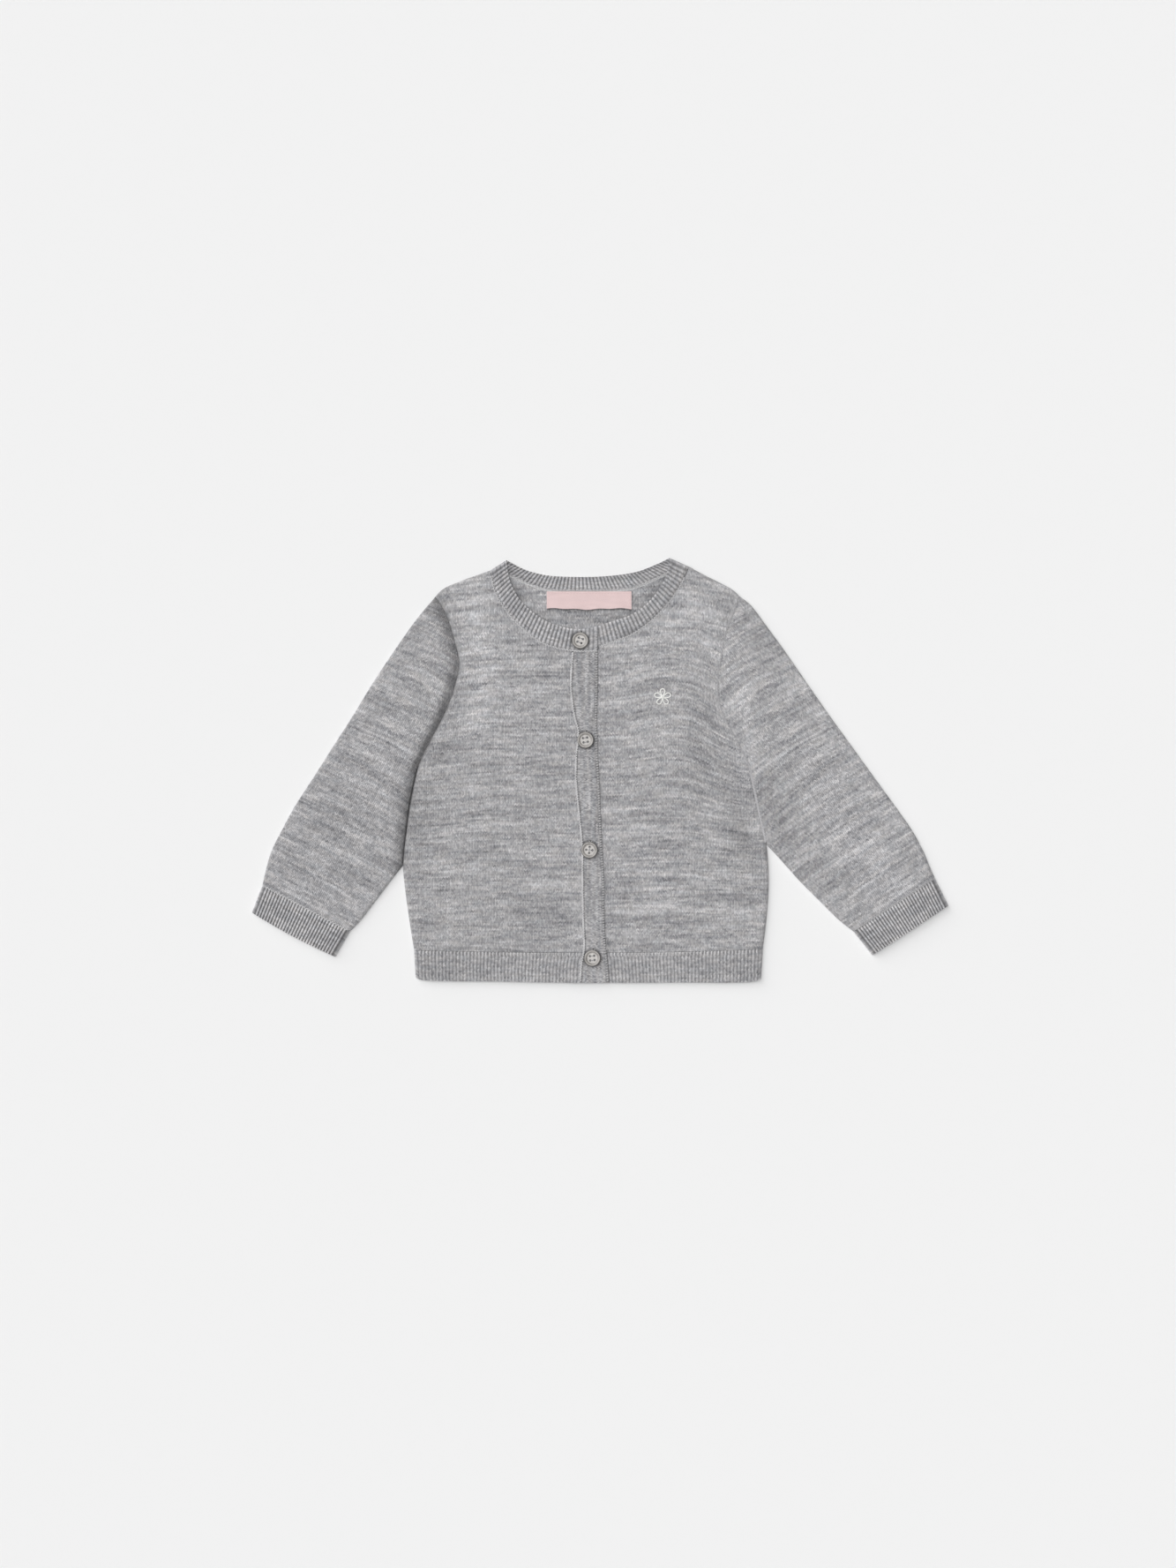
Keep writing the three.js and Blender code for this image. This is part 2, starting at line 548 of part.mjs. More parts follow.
// A sleeve as a flattened tube, from the body's edge down to the cuff
function sleeve(side) {
  const edge = bodyEdge(side);
  const notch = shareOf(edge, NOTCH[side]);
  const underarm = (1 - shareOf(edge, UNDERARM[side])) / (1 - notch);
  const { seamOuter, seamInner } = CUFF[side];
  const place = patch({
    low: stretch(edge, 1, notch),
    high: stretch(new THREE.LineCurve3(asPoint(seamOuter), asPoint(seamInner))),
    inner: stretch(curveThrough(SLEEVE_OUTER[side])),
    outer: stretch(curveThrough(SLEEVE_INNER[side])),
  });
  const rows = [...lowerRows, at(NECK_CORNER_ROW), ...upperRows.filter((_, i) => i % 2)];
  const shares = rows.map(({ share }) => (1 - edgeShare(share)) / (1 - notch));
  const layer = shares.filter((share) => share < LAST_ROUND_SLEEVE).reverse().map(at);
  const across = tubeRing(layer, layer);
  const along = [...turned(0), ...plain(SLEEVE_ROWS, FIRST_SLEEVE_ROW, 1), cut(1)];
  return wall(across, along, (a, b) => {
    const seam = smooth((underarm - a.share) / UNDERARM_BLEND + 0.5);
    const isUpper = a.turn > 0;
    const reach = ARMHOLE_DIP_SLEEVE[side];
    const shift = (inside) => shiftOf(b, inside && isUpper, isUpper ? seam : 1, reach, SEAM_GAP);
    const outside = place(a, shiftOf(a), b, shift(false));
    const inside = place(a, shiftOf(a, true), b, shift(true));
    const full = sleeveTop(a.share, outside);
    const sewn = mix(ARMHOLE_SEAM_TOP, full, smooth(b.turn / flat));
    const upper = mix(mix(FRONT_RIM, full, Math.sin(b.turn)), sewn, seam);
    const lower = mix(mix(FRONT_RIM, full - WALL, Math.sin(b.turn)), sewn - WALL, seam);
    return tubeFaces(a, outside, inside, upper, lower);
  }, true);
}

// Where the ribs of a cuff start and end, as shares of its width
const CUFF_RIBBED = { from: 0.05, to: 0.95 };

// A cuff as a flattened tube with ribs on its upper layer
function cuff(side) {
  const { seamOuter, seamInner, endOuter, endInner, bow } = CUFF[side];
  const down = asPoint(endOuter).sub(asPoint(seamOuter)).normalize();
  const line = (from, to, bulge = 0) => (share) =>
    asPoint(from).lerp(asPoint(to), share).addScaledVector(down, bulge * Math.sin(Math.PI * share));
  const place = patch({
    low: line(seamOuter, seamInner),
    high: line(endOuter, endInner, bow),
    inner: line(seamOuter, endOuter),
    outer: line(seamInner, endInner),
  });
  const count = Math.round(asPoint(seamOuter).distanceTo(asPoint(seamInner)) / CUFF_RIB) - 2;
  const across = tubeRing(ribs(count, CUFF_RIBBED.from, CUFF_RIBBED.to), plain(5));
  return wall(across, [cut(0), at(1)], (a, b) => {
    const outside = place(a, shiftOf(a), b, shiftOf(b));
    const inside = place(a, shiftOf(a, true), b, shiftOf(b));
    const full = sleeveTop(a.share, outside);
    return tubeFaces(a, outside, inside, full + (a.crest ? RIB_RELIEF : 0), full - WALL);
  }, true);
}

// One stretch of the neckband: its seam and free edges with the same shares, and its length
function neckStretch(name) {
  const [seam, free] = [curveThrough(NECK_SEAM[name]), curveThrough(NECK_EDGE[name])];
  return { seam, free, length: (seam.getLength() + free.getLength()) / 2 };
}

// The free edge of the neckband stands up away from its ends
const LIFT_START = 0.15;
const LIFT_RUN = 0.3;
const liftAt = (share) => smooth((share - LIFT_START) / LIFT_RUN);

// The neckband, one strip from the outer front's end round the back to the inner front's end
function neckband() {
  const stations = [];
  const add = (name, share, turn, crest) => stations.push({ name, share, turn, crest });
  const parts = { right: neckStretch('right'), back: neckStretch('back'), left: neckStretch('left') };
  const ribRow = (name, pitch, from, to) => {
    const count = Math.round(Math.abs(to - from) * parts[name].length / pitch);
    const turn = name === 'back' ? -flat : flat;
    ribs(count, from, to).forEach(({ share, crest }) => add(name, share, turn, crest));
  };
  const foldAt = (name, end, angles) => angles.forEach((degrees) => {
    const turn = THREE.MathUtils.degToRad(degrees);
    const distance = FOLD_REACH * (1 - Math.cos(turn)) / parts[name].length;
    add(name, end ? 1 - distance : distance, turn, 0);
  });
  const reach = (name) => (FOLD_REACH + NECK_FOLD_REST) / parts[name].length;
  const plainEnd = NECK_PLAIN_END / parts.right.length;
  [0, plainEnd / 2].forEach((share) => add('right', share, flat, 0));
  ribRow('right', NECK_FRONT_RIB, plainEnd, 1 - reach('right'));
  foldAt('right', true, [90, 55, 25, 0]);
  foldAt('back', false, [-25, -55, -90]);
  ribRow('back', NECK_BACK_RIB, reach('back'), 1 - reach('back'));
  foldAt('back', true, [-90, -55, -25, 0]);
  foldAt('left', true, [25, 55, 90]);
  ribRow('left', NECK_FRONT_RIB, 1 - reach('left'), plainEnd);
  [plainEnd / 2, 0].forEach((share) => add('left', share, flat, 0));
  return wall(stations, [0, 1], ({ name, share, turn, crest }, side) => {
    const { seam, free, length } = parts[name];
    const lining = WALL * Math.cos(turn) / length;
    const inner = share > 0.5 ? Math.max(share - lining, 0) : Math.min(share + lining, 1);
    const edgePoint = (place) => {
      const [from, to] = [seam.getPointAt(place), free.getPointAt(place)];
      return side ? to : from.addScaledVector(to.sub(from).normalize(), SEAM_GAP);
    };
    const [outside, inside] = [edgePoint(share), edgePoint(inner)];
    const relief = crest ? RIB_RELIEF : 0;
    const rise = Math.sin(turn);
    if (rise > 0) {
      const full = topOf[name](outside.x, outside.y) + side * NECKBAND_LIFT * liftAt(share);
      outside.z = mix(FOLD_MIDDLE, full + relief, rise);
      inside.z = mix(FOLD_MIDDLE, full - WALL, rise);
    } else {
      outside.z = FOLD_MIDDLE * (1 + rise);
      inside.z = FOLD_MIDDLE + (FOLD_MIDDLE - WALL) * rise + relief;
    }
    return { outside, inside };
  });
}

const BAND_ROWS = 26;

// A front band between two edges that follow the placket's table
function band(seamInset, freeInset, top) {
  const edge = (column, inset) => curveThrough(BAND.map((row) => ({ x: row[column] + inset, y: row.y })));
  const [left, right] = [edge('seam', seamInset), edge('free', -freeInset)];
  const place = patch({
    low: stretch(new THREE.LineCurve3(left.getPointAt(0), right.getPointAt(0))),
    high: stretch(new THREE.LineCurve3(left.getPointAt(1), right.getPointAt(1))),
    inner: stretch(left),
    outer: stretch(right),
  });
  return wall([at(0), at(1)], [cut(0), ...plain(BAND_ROWS), at(1)], (a, b) => {
    const outside = place(a, 0, b, shiftOf(b)).setZ(top);
    return { outside, inside: outside.clone().setZ(top - WALL) };
  });
}

// A geometry with its shared corners merged and no face without area
function merged(source) {
  const bare = source.clone();
  bare.deleteAttribute('normal');
  bare.deleteAttribute('uv');
  const geometry = mergeVertices(bare, 1e-4);
  const index = Array.from(geometry.index.array);
  const faces = [];
  for (let i = 0; i < index.length; i += 3) {
    const [a, b, c] = index.slice(i, i + 3);
    if (a !== b && b !== c && c !== a) faces.push(a, b, c);
  }
  return outward(Array.from(geometry.attributes.position.array), faces);
}

function toSolid(source) {
  const { attributes, index } = merged(source);
  return new wasm.Manifold(new wasm.Mesh({
    numProp: 3,
    vertProperties: new Float32Array(attributes.position.array),
    triVerts: new Uint32Array(index.array),
  }));
}

function fromSolid(solid) {
  const { vertProperties, triVerts } = solid.getMesh();
  return outward(Array.from(vertProperties), Array.from(triVerts));
}

// The outer layer of a band with a slit through it at each of the given buttons
function withButtonholes(geometry, buttons) {
  const { width, length, right, up } = BUTTONHOLE;
  const middle = OVER_BAND_TOP - WALL / 2;
  return fromSolid(buttons.reduce((solid, { x, y }) => {
    const slit = new THREE.BoxGeometry(width, length, WALL + SEAM_GAP);
    return solid.subtract(toSolid(slit.translate(x + right, y + up, middle)));
  }, toSolid(geometry)));
}

// A round button with a raised rim, a dished middle and four holes for its thread
function button() {
  const { radius, height, rim, dish, bevel } = BUTTON;
  const profile = [
    [0, 0], [radius - bevel, 0], [radius, bevel], [radius, height - bevel], [radius - bevel, height],
    [radius - rim, height], [radius - rim - bevel, height - dish], [0, height - dish],
  ].map(([x, y]) => new THREE.Vector2(x, y));
  const disc = new THREE.LatheGeometry(profile, BUTTON_SIDES).rotateX(flat);
  const { offset, sides } = THREAD_HOLE;
  return fromSolid([[1, 1], [-1, 1], [-1, -1], [1, -1]].reduce((solid, [x, y]) => {
    const hole = new THREE.CylinderGeometry(THREAD_HOLE.radius, THREAD_HOLE.radius, 3 * height, sides);
    return solid.subtract(toSolid(hole.rotateX(flat).translate(x * offset, y * offset, 0)));
  }, toSolid(disc)));
}

// The label lies a seam's gap above the back, and its lower edge stands up in two soft waves, which grow
// towards the wearer's left
const WAVE_GROWTH = { from: 0.6, by: 0.4 };
const WAVES = 2;

function label() {
  const { left, right, top, bottom, thickness, wave } = LABEL;
  return wall([at(0), ...plain(13), at(1)], [0, 0.5, 1], (a, down) => {
    const growth = WAVE_GROWTH.from + WAVE_GROWTH.by * a.share;
    const rise = wave * down * (1 - Math.cos(2 * Math.PI * WAVES * a.share)) * growth;
    const [x, y] = [mix(left, right, a.share), mix(top, bottom, down)];
    const inside = new THREE.Vector3(x, y, WALL + SEAM_GAP + rise);
    return { outside: inside.clone().setZ(inside.z + thickness), inside };
  });
}

// Each piece with its name and its finish
const cardigan = new THREE.Group();

function piece(name, geometry, finish) {
  const mesh = new THREE.Mesh(geometry, new THREE.MeshStandardMaterial(finish));
  mesh.name = name;
  cardigan.add(mesh);
  return mesh;
}

piece('back', back(), FINISH.knit);
piece('hem_back', hemBack(), FINISH.rib);
for (const side of ['right', 'left']) {
  piece(`front_${side}`, front(side), FINISH.knit);
  piece(`hem_front_${side}`, hemFront(side), FINISH.rib);
  piece(`sleeve_${side}`, sleeve(side), FINISH.knit);
  piece(`cuff_${side}`, cuff(side), FINISH.rib);
}
piece('neckband', withButtonholes(neckband(), BUTTONS.slice(0, 1)), FINISH.rib);
piece('button_band', band(UNDER_BAND_INSET, UNDER_BAND_SEAM, UNDER_BAND_TOP), FINISH.knit);
const outerBand = band(SEAM_GAP / 2, 0, OVER_BAND_TOP);
piece('buttonhole_band', withButtonholes(outerBand, BUTTONS.slice(1)), FINISH.knit);
piece('label', label(), FINISH.label);
const buttonShape = button();
BUTTONS.forEach(({ x, y }, i) => {
  piece(`button_${i + 1}`, buttonShape, FINISH.button).position.set(x, y, OVER_BAND_TOP + SEAM_GAP);
});

export default cardigan;
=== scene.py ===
"""A baby cardigan of fine heather-grey knit, buttoned up and laid flat.

Lengths in the tables are in millimetres, +X is the wearer's left and +Y runs towards the neck.
Every surface is a grid of two parameters, worked out as whole arrays.
"""

import math

import bpy
import numpy as np
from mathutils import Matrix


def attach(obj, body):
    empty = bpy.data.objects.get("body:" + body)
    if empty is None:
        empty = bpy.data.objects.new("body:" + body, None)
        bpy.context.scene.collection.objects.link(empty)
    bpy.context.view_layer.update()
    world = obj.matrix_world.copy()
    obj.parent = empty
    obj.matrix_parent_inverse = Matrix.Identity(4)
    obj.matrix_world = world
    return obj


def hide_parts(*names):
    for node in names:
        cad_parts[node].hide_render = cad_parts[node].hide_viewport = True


bl_info = {
    "name": "Baby cardigan",
    "version": (1, 0, 0),
    "blender": (4, 5, 0),
    "location": "3D View > Sidebar > Cardigan",
    "description": "Builds a buttoned baby cardigan of heather-grey knit, laid flat",
    "category": "Add Mesh",
}

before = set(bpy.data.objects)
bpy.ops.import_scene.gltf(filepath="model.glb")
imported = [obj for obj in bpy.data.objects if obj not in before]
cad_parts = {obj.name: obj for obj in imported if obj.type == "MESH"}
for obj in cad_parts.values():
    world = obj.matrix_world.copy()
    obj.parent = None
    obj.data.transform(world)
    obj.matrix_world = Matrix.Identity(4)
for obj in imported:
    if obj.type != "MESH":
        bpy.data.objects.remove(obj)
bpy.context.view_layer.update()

MM = 0.001

# The turn at which cloth that goes over an edge lies flat
FLAT = math.pi / 2

# Cloth, as the solids have it
FOLD_REACH = 2.6
FOLD_MIDDLE = 1.35
RIM_START = 3.1
BACK_TURN = 1.6
BACK_RIM = 0.85
PRESSED_RIB = 0.35
UNDER_BAND_TOP = 2.8
OVER_BAND_TOP = 4.3
FRONT_TOP = 3.6
FRONT_RIM = 1.5
SLEEVE_TOP = 3.4
SLEEVE_CROWN = 0.7
NECKBAND_LIFT = 0.8
PLACKET_SLOPE = 14
ARMHOLE_TOP = {"right": 2.45, "left": 3.0}
ARMHOLE_DIP_BODY = {"right": 2.4, "left": 7}
ARMHOLE_DIP_SLEEVE = {"right": 15, "left": 6}
UNDERARM_BLEND = 0.06
NECK_PLAIN_END = 18
NECK_FOLD_REST = 0.8
STRIP_HEIGHT = 20
NECKBAND_WIDTH = 15
UNDER_BAND_INSET = 1.2
UNDER_BAND_SEAM = 0.6
NECK_CORNER_ROW = 0.72
NECK_CORNER_ON_EDGE = 0.8

# Outlines of the body, from the shoulder tip down
ARMHOLE = {
    "right": [(-113.8, 120.2), (-106.6, 107.7), (-101.0, 89.9), (-97.6, 74.7),
              (-100.5, 58.5), (-108.6, 37.3), (-118.5, 18.5), (-125.4, 3.7)],
    "left": [(95.8, 120.6), (91.6, 108.1), (86.9, 96.4), (84.0, 81.1), (81.3, 65.0),
             (81.3, 52.0), (84.2, 40.6), (90.5, 27.0), (97.8, 13.5), (102.0, 5.1)],
}
SIDE = {
    "right": [(-125.4, 3.7), (-130.5, -17.7), (-133.8, -40.0), (-136.3, -65.6),
              (-135.2, -80.0), (-132.4, -101.0), (-128.7, -124.4)],
    "left": [(102.0, 5.1), (106.9, -15.9), (111.4, -37.0), (114.6, -51.0),
             (116.1, -68.0), (116.1, -84.0), (114.6, -104.0), (112.2, -123.6)],
}
NOTCH = {"right": (-136.3, -65.6), "left": (114.6, -51.0)}
UNDERARM = {"right": (-125.4, 3.7), "left": (102.0, 5.1)}

# Shoulder folds, from the tip to the neckband
SHOULDER = {
    "right": [(-113.8, 120.2), (-111.2, 123.2), (-107.0, 126.4), (-97.3, 130.5), (-86.9, 134.3),
              (-76.2, 138.0)],
    "left": [(95.8, 120.6), (91.8, 124.4), (82.5, 129.6), (72.4, 134.6), (61.3, 140.7)],
}

# Seam and free edges of the neckband. The fronts start at the centre and the back at the right shoulder.
NECK_SEAM = {
    "right": [(-1.9, 82.4), (-10.0, 82.2), (-18.9, 82.5), (-29.0, 84.2), (-40.2, 88.0),
              (-52.3, 96.7), (-63.9, 108.8), (-72.5, 123.0), (-76.2, 138.0)],
    "back": [(-76.2, 138.0), (-63.9, 135.4), (-52.3, 130.1), (-37.1, 125.3), (-8.2, 124.4),
             (20.4, 125.9), (30.6, 129.1), (41.8, 134.2), (51.0, 138.2), (61.3, 140.7)],
    "left": [(-18.6, 83.0), (-10.0, 83.6), (-1.8, 85.4), (5.4, 87.6), (21.5, 93.8),
             (35.7, 103.8), (48.9, 118.0), (57.8, 132.4), (61.3, 140.7)],
}
NECK_EDGE = {
    "right": [(-1.9, 99.6), (-10.0, 98.0), (-18.9, 97.7), (-27.0, 99.3), (-37.1, 102.9),
              (-47.3, 109.8), (-56.4, 119.0), (-62.5, 131.2), (-65.0, 145.2)],
    "back": [(-65.0, 145.2), (-52.3, 138.7), (-37.1, 134.7), (-14.9, 133.6), (5.2, 134.2),
             (25.6, 137.3), (39.7, 142.7), (47.9, 146.7)],
    "left": [(-18.6, 97.2), (-10.0, 97.8), (-1.8, 99.5), (5.3, 102.0), (19.5, 106.8),
             (30.6, 113.9), (39.7, 124.0), (44.8, 133.1), (47.9, 146.7)],
}

# The outer front band, as y, its seam's x and its free edge's x
BAND = np.array([
    (82.4, -18.8, -1.9), (56.7, -20.0, -2.0), (36.0, -17.3, -2.4), (27.0, -14.9, -2.3),
    (10.0, -16.4, -1.8), (-6.0, -16.6, -0.8), (-28.0, -14.6, 0.1), (-52.0, -12.3, 1.2),
    (-77.0, -12.0, 2.6), (-105.0, -11.5, 2.8), (-122.0, -10.9, 3.8), (-136.0, -13.1, 5.2),
    (-146.8, -13.6, 5.9)])[::-1]

# Each front's line in that table, and where it meets the hem's seam and the neckband's
BAND_LINE = {"right": 1, "left": 2}
HEM_CORNER = {"right": (-11.3, -126), "left": (4.2, -126)}
NECK_CORNER = {"right": (-18.8, 82.4), "left": (-1.9, 85.4)}

# Each side's end of a line that runs from the wearer's right to the left
SIDE_END = {"right": 0, "left": 1}

# The hem's seam and lower edge, from the wearer's right to the left
HEM_SEAM = [(-128.7, -124.4), (-70.0, -125.6), (-12.0, -126.0), (5.0, -126.0), (60.0, -125.2),
            (112.2, -123.6)]
HEM_EDGE = [(-127.6, -143.3), (-123.5, -144.7), (-70.0, -145.8), (-10.0, -146.8), (50.0, -146.5),
            (107.0, -145.6), (111.0, -143.8)]

# Sleeves: the fold on the outer side from the shoulder tip, and the one on the inner side from the notch
SLEEVE_OUTER = {
    "right": [(-113.8, 120.2), (-126.6, 105.0), (-141.8, 83.6), (-156.5, 61.6), (-169.9, 39.6),
              (-183.9, 17.7), (-197.9, -4.3), (-212.0, -26.2), (-219.9, -40.9), (-227.2, -55.5),
              (-231.5, -70.1), (-233.5, -79.3)],
    "left": [(95.8, 120.6), (103.8, 114.2), (115.6, 98.6), (126.6, 83.6), (141.8, 61.6), (157.1, 39.6),
             (172.9, 17.7), (188.8, -4.3), (204.7, -26.2), (215.0, -40.9), (223.0, -55.5), (229.1, -70.1),
             (231.0, -74.2)],
}
SLEEVE_INNER = {
    "right": [(-136.3, -65.6), (-143.5, -74.7), (-156.3, -91.7), (-166.0, -104.2), (-173.0, -111.4)],
    "left": [(114.6, -51.0), (123.5, -60.6), (137.6, -76.3), (153.4, -92.1), (164.6, -103.2),
             (174.9, -111.3)],
}

# Cuffs: outer and inner corner on the sleeve's seam, the same on the open end, and how far that end bows out
CUFF = {
    "right": ((-233.5, -79.3), (-173.0, -111.4), (-240.8, -98.2), (-183.2, -128.8), 1.2),
    "left": ((231.0, -74.2), (174.9, -111.3), (240.5, -93.3), (187.9, -127.7), 0.3),
}

# Soft ridges and troughs of the top layer, as x1, y1, x2, y2, spread and rise
FOLDS = [
    (-104, 109, -94, 80, 8, 1.4), (-94, 72, -116, 14, 8, 1.7), (-120, 6, -130, -60, 7, 1.9),
    (-60, 60, -48, -20, 22, 0.5), (-85, -40, -60, -95, 24, 0.4), (78, 88, 76, 55, 7, -0.5),
    (80, 40, 103, -42, 8, -0.7), (66, 36, 92, -58, 10, 0.5), (30, 40, 40, -70, 24, 0.4),
    (-150, 50, -175, 5, 14, 0.5), (-165, -40, -190, -80, 14, 0.4), (120, 60, 150, 15, 14, 0.5),
    (160, -30, 195, -75, 15, 0.4),
    (34, 103, 37, 99, 1.3, -0.45), (38, 101, 41, 97, 1.3, -0.45), (42, 98, 45, 95, 1.3, -0.4),
    (-30, 70, -95, 66, 4, 0.18), (-35, 62, -92, 58, 3.5, -0.15), (60, 78, 80, 66, 3, 0.2),
    (-128, 70, -112, 60, 4, 0.25), (-134, 58, -114, 46, 4, -0.2), (95, 60, 112, 68, 4, 0.2),
    (-30, 5, -19, 30, 5, 0.3), (-28, -70, -15, -50, 5, 0.3), (8, 30, 2, 15, 4, 0.25),
    (10, -60, 4, -45, 4, 0.25),
]

# Painted light and shade: where the soft light falls fuller or the cloth lies in shade, as x1, y1, x2, y2,
# spread and amount
SHADES = [
    (-86, 118, -84, 30, 14, 0.22), (96, 62, 104, 0, 8, 0.2), (66, 108, 76, 84, 14, 0.16),
    (30, 100, 60, 110, 20, 0.1),
    (112, -16, 128, -46, 9, -0.14), (92, -28, 104, -62, 10, -0.16), (66, 26, 70, -16, 9, -0.12),
    (140, 60, 200, -30, 18, 0.12), (170, -40, 205, -80, 20, 0.12), (24, 74, 20, 30, 12, 0.08),
    (-104, -124, -60, -132, 16, -0.1), (26, -50, 44, -84, 12, 0.12), (-128, -14, -130, -36, 9, -0.18),
    (-160, -18, -200, -60, 18, -0.06), (-64, -96, -108, -104, 12, -0.08), (2, -120, 2, -130, 10, -0.1),
    (-70, 82, -52, 40, 16, 0.06),
]

# Painted shades beside the armholes, on body and sleeve, as distance from the body's edge, spread and depth; a
# negative depth is painted light
ARMHOLE_SHADES = {
    "right": {"body": [(0, 0.9, 0.4), (2.2, 1.6, 0.12)], "sleeve": [(0, 6.3, 0.6)]},
    "left": {"body": [(0, 3, -0.06)], "sleeve": [(0, 0.9, 0.1)]},
}

# Soft ridges of the hidden side, which lie up to this far off the table
UNDER_FOLDS = [
    (-70, 90, -50, -60, 18, 0.35), (60, 70, 40, -70, 20, 0.3), (0, 20, 10, -100, 16, 0.3),
    (-100, -20, -80, -100, 14, 0.3), (90, 0, 80, -90, 14, 0.3),
]

# Button centres, from the neck down, each with how far its holes are turned
BUTTONS = [(-13.9, 89.6, -20), (-10.3, 20.9, 8), (-7.6, -55.0, 40), (-5.6, -129.6, 5)]
BUTTONHOLE = {"width": 0.6, "length": 10.4, "right": 0.8, "up": 1.2}

LABEL = {"left": -37.1, "right": 21.5, "top": 123.6, "bottom": 111.5, "thickness": 0.8, "wave": 0.35}
FLOWER = (43.0, 50.6)

# Each knit's stitch width, as one of the sizes and a share of it, and its finish; in it, ribbed is the painted
# shade of the rib valleys and label_shade the painted shadow below the label
KNITS = {
    "heather_stockinette": ("wale", 1, {"tint": 1.02}),
    "heather_back": ("wale", 1, {"tint": 1.02, "label_shade": True}),
    "heather_rib": ("neck_rib", 1, {
        "tint": 1.06, "slant": 0.8, "relief": 0.00012, "ribbed": 0.36, "contrast": 0.8, "fleck": 0.25}),
    "heather_cuff": ("cuff_rib", 1, {
        "tint": 1.17, "slant": 0.8, "relief": 0.00012, "ribbed": 0.68, "contrast": 0.8, "fleck": 0.2}),
    "heather_hem": ("hem_rib", 1, {
        "tint": 0.99, "slant": 1.0, "relief": 0.00035, "ribbed": 0.22, "contrast": 0.65}),
    "heather_band": ("wale", 0.8, {"tint": 0.985, "contrast": 0.8, "fleck": 0.4}),
}

# Lamps, as strength, angular size and lean about X and Y, in degrees, and the sky's strength
LAMPS = {
    "above": (1.68, 35, (-4, -5)),
    "key": (1.75, 60, (-30, -50)),
    "fill": (0.5, 90, (68, 28)),
}
SKY = 0.115

# The camera's place in metres, its lens and sensor, and half the floor's width
EYE = (-0.00854, -0.00946, 3.0)
LENS = 99.63
SENSOR = 36
FLOOR_REACH = 6000.0


# settings

def length(name, default, description):
    """A length property, in metres."""
    return bpy.props.FloatProperty(
        name=name, default=default, description=description, unit="LENGTH", min=0.00001, precision=5)


def colour(name, shades, description):
    """A colour property from screen shades."""
    return bpy.props.FloatVectorProperty(
        name=name, default=linear(shades), description=description, subtype="COLOR", size=3, min=0, max=1)


def linear(shades):
    """The linear value of each screen shade from 0 to 255, by the sRGB curve."""
    share = np.asarray(shades, float) / 255
    return tuple(np.where(share <= 0.04045, share / 12.92, ((share + 0.055) / 1.055) ** 2.4))


class CardiganSizes(bpy.types.PropertyGroup):
    """The sizes of the cloth, the ribs, the yarn and the buttons"""

    wall: length("Cloth", 0.0012, "Thickness of the knitted cloth")
    seam_gap: length("Seam gap", 0.0003, "Space between two pieces at a seam")
    rib_relief: length(
        "Rib relief", 0.0009, "How far a rib of the neckband or a cuff stands above the valley beside it")
    hem_relief: length("Hem relief", 0.0002, "How far a rib of the hem stands above the valley beside it")
    wale: length("Wale", 0.00179, "Width of one stitch of the plain knit")
    course: length("Course", 0.00125, "Height of one stitch of the plain knit")
    hem_rib: length("Hem rib", 0.0024, "Distance from rib to rib in the hem")
    cuff_rib: length("Cuff rib", 0.0022, "Distance from rib to rib in the cuffs")
    neck_rib: length("Neck rib", 0.0028, "Distance from rib to rib in the front neckband")
    back_rib: length("Back neck rib", 0.0026, "Distance from rib to rib in the back neckband")
    button_radius: length("Button radius", 0.0057, "Radius of a button")
    button_height: length("Button height", 0.0021, "Thickness of a button at its rim")
    yarn: length("Seam yarn", 0.00034, "Radius of the yarn that links two pieces")
    edge_pitch: length("Edge stitch", 0.00175, "Distance from loop to loop along the band's free edge")


class CardiganColours(bpy.types.PropertyGroup):
    """The colours of the yarns, the label, the buttons and the floor"""

    wool: colour("Wool", (166, 165, 167), "Middle shade of the heather knit")
    wool_dark: colour("Dark fibres", (112, 112, 116), "Darkest dashes in the knit")
    wool_light: colour("Light fibres", (214, 212, 213), "Lightest dashes in the knit")
    seam: colour("Seam yarn", (210, 209, 210), "Lighter yarn of the linked seams")
    label: colour("Label", (231, 206, 205), "Satin of the label")
    button: colour("Button", (172, 168, 164), "Shell of the buttons")
    thread: colour("Embroidery", (236, 236, 233), "Thread of the flower")
    floor: colour("Floor", (240, 240, 240), "Paper that the cardigan lies on")


def mm(name):
    """A size of the cardigan in millimetres."""
    return getattr(bpy.context.scene.cardigan_sizes, name) / MM


def shade(name):
    """A colour of the cardigan with its alpha."""
    return (*getattr(bpy.context.scene.cardigan_colours, name), 1)


# curves and patches

def mix(low, high, share):
    """The value a share of the way from low to high."""
    return low + (high - low) * share


def smooth(value):
    """Runs from 0 to 1 with level ends: 3v² - 2v³ of the value kept between 0 and 1."""
    value = np.clip(value, 0, 1)
    return value * value * (3 - 2 * value)


def bell(distance, spread):
    """A soft bump: exp(-(distance over spread)²)."""
    return np.exp(-((distance / spread) ** 2))


def run_of(line):
    """The length along a line up to each of its points."""
    return np.concatenate([[0], np.cumsum(np.linalg.norm(np.diff(line, axis=0), axis=1))])


def read(line, run, at):
    """A line's points at given places of its run."""
    return np.stack([np.interp(at, run, axis) for axis in line.T], axis=-1)


def distance(x, y, path):
    """The distance of each place from the nearest point of a path."""
    away = np.full(np.shape(x), np.inf)
    for px, py in path:
        away = np.minimum(away, np.hypot(x - px, y - py))
    return away


def raised(flat, height):
    """A grid's places with their heights."""
    return np.concatenate([flat, np.broadcast_to(height, flat.shape[:-1])[..., None]], axis=-1)


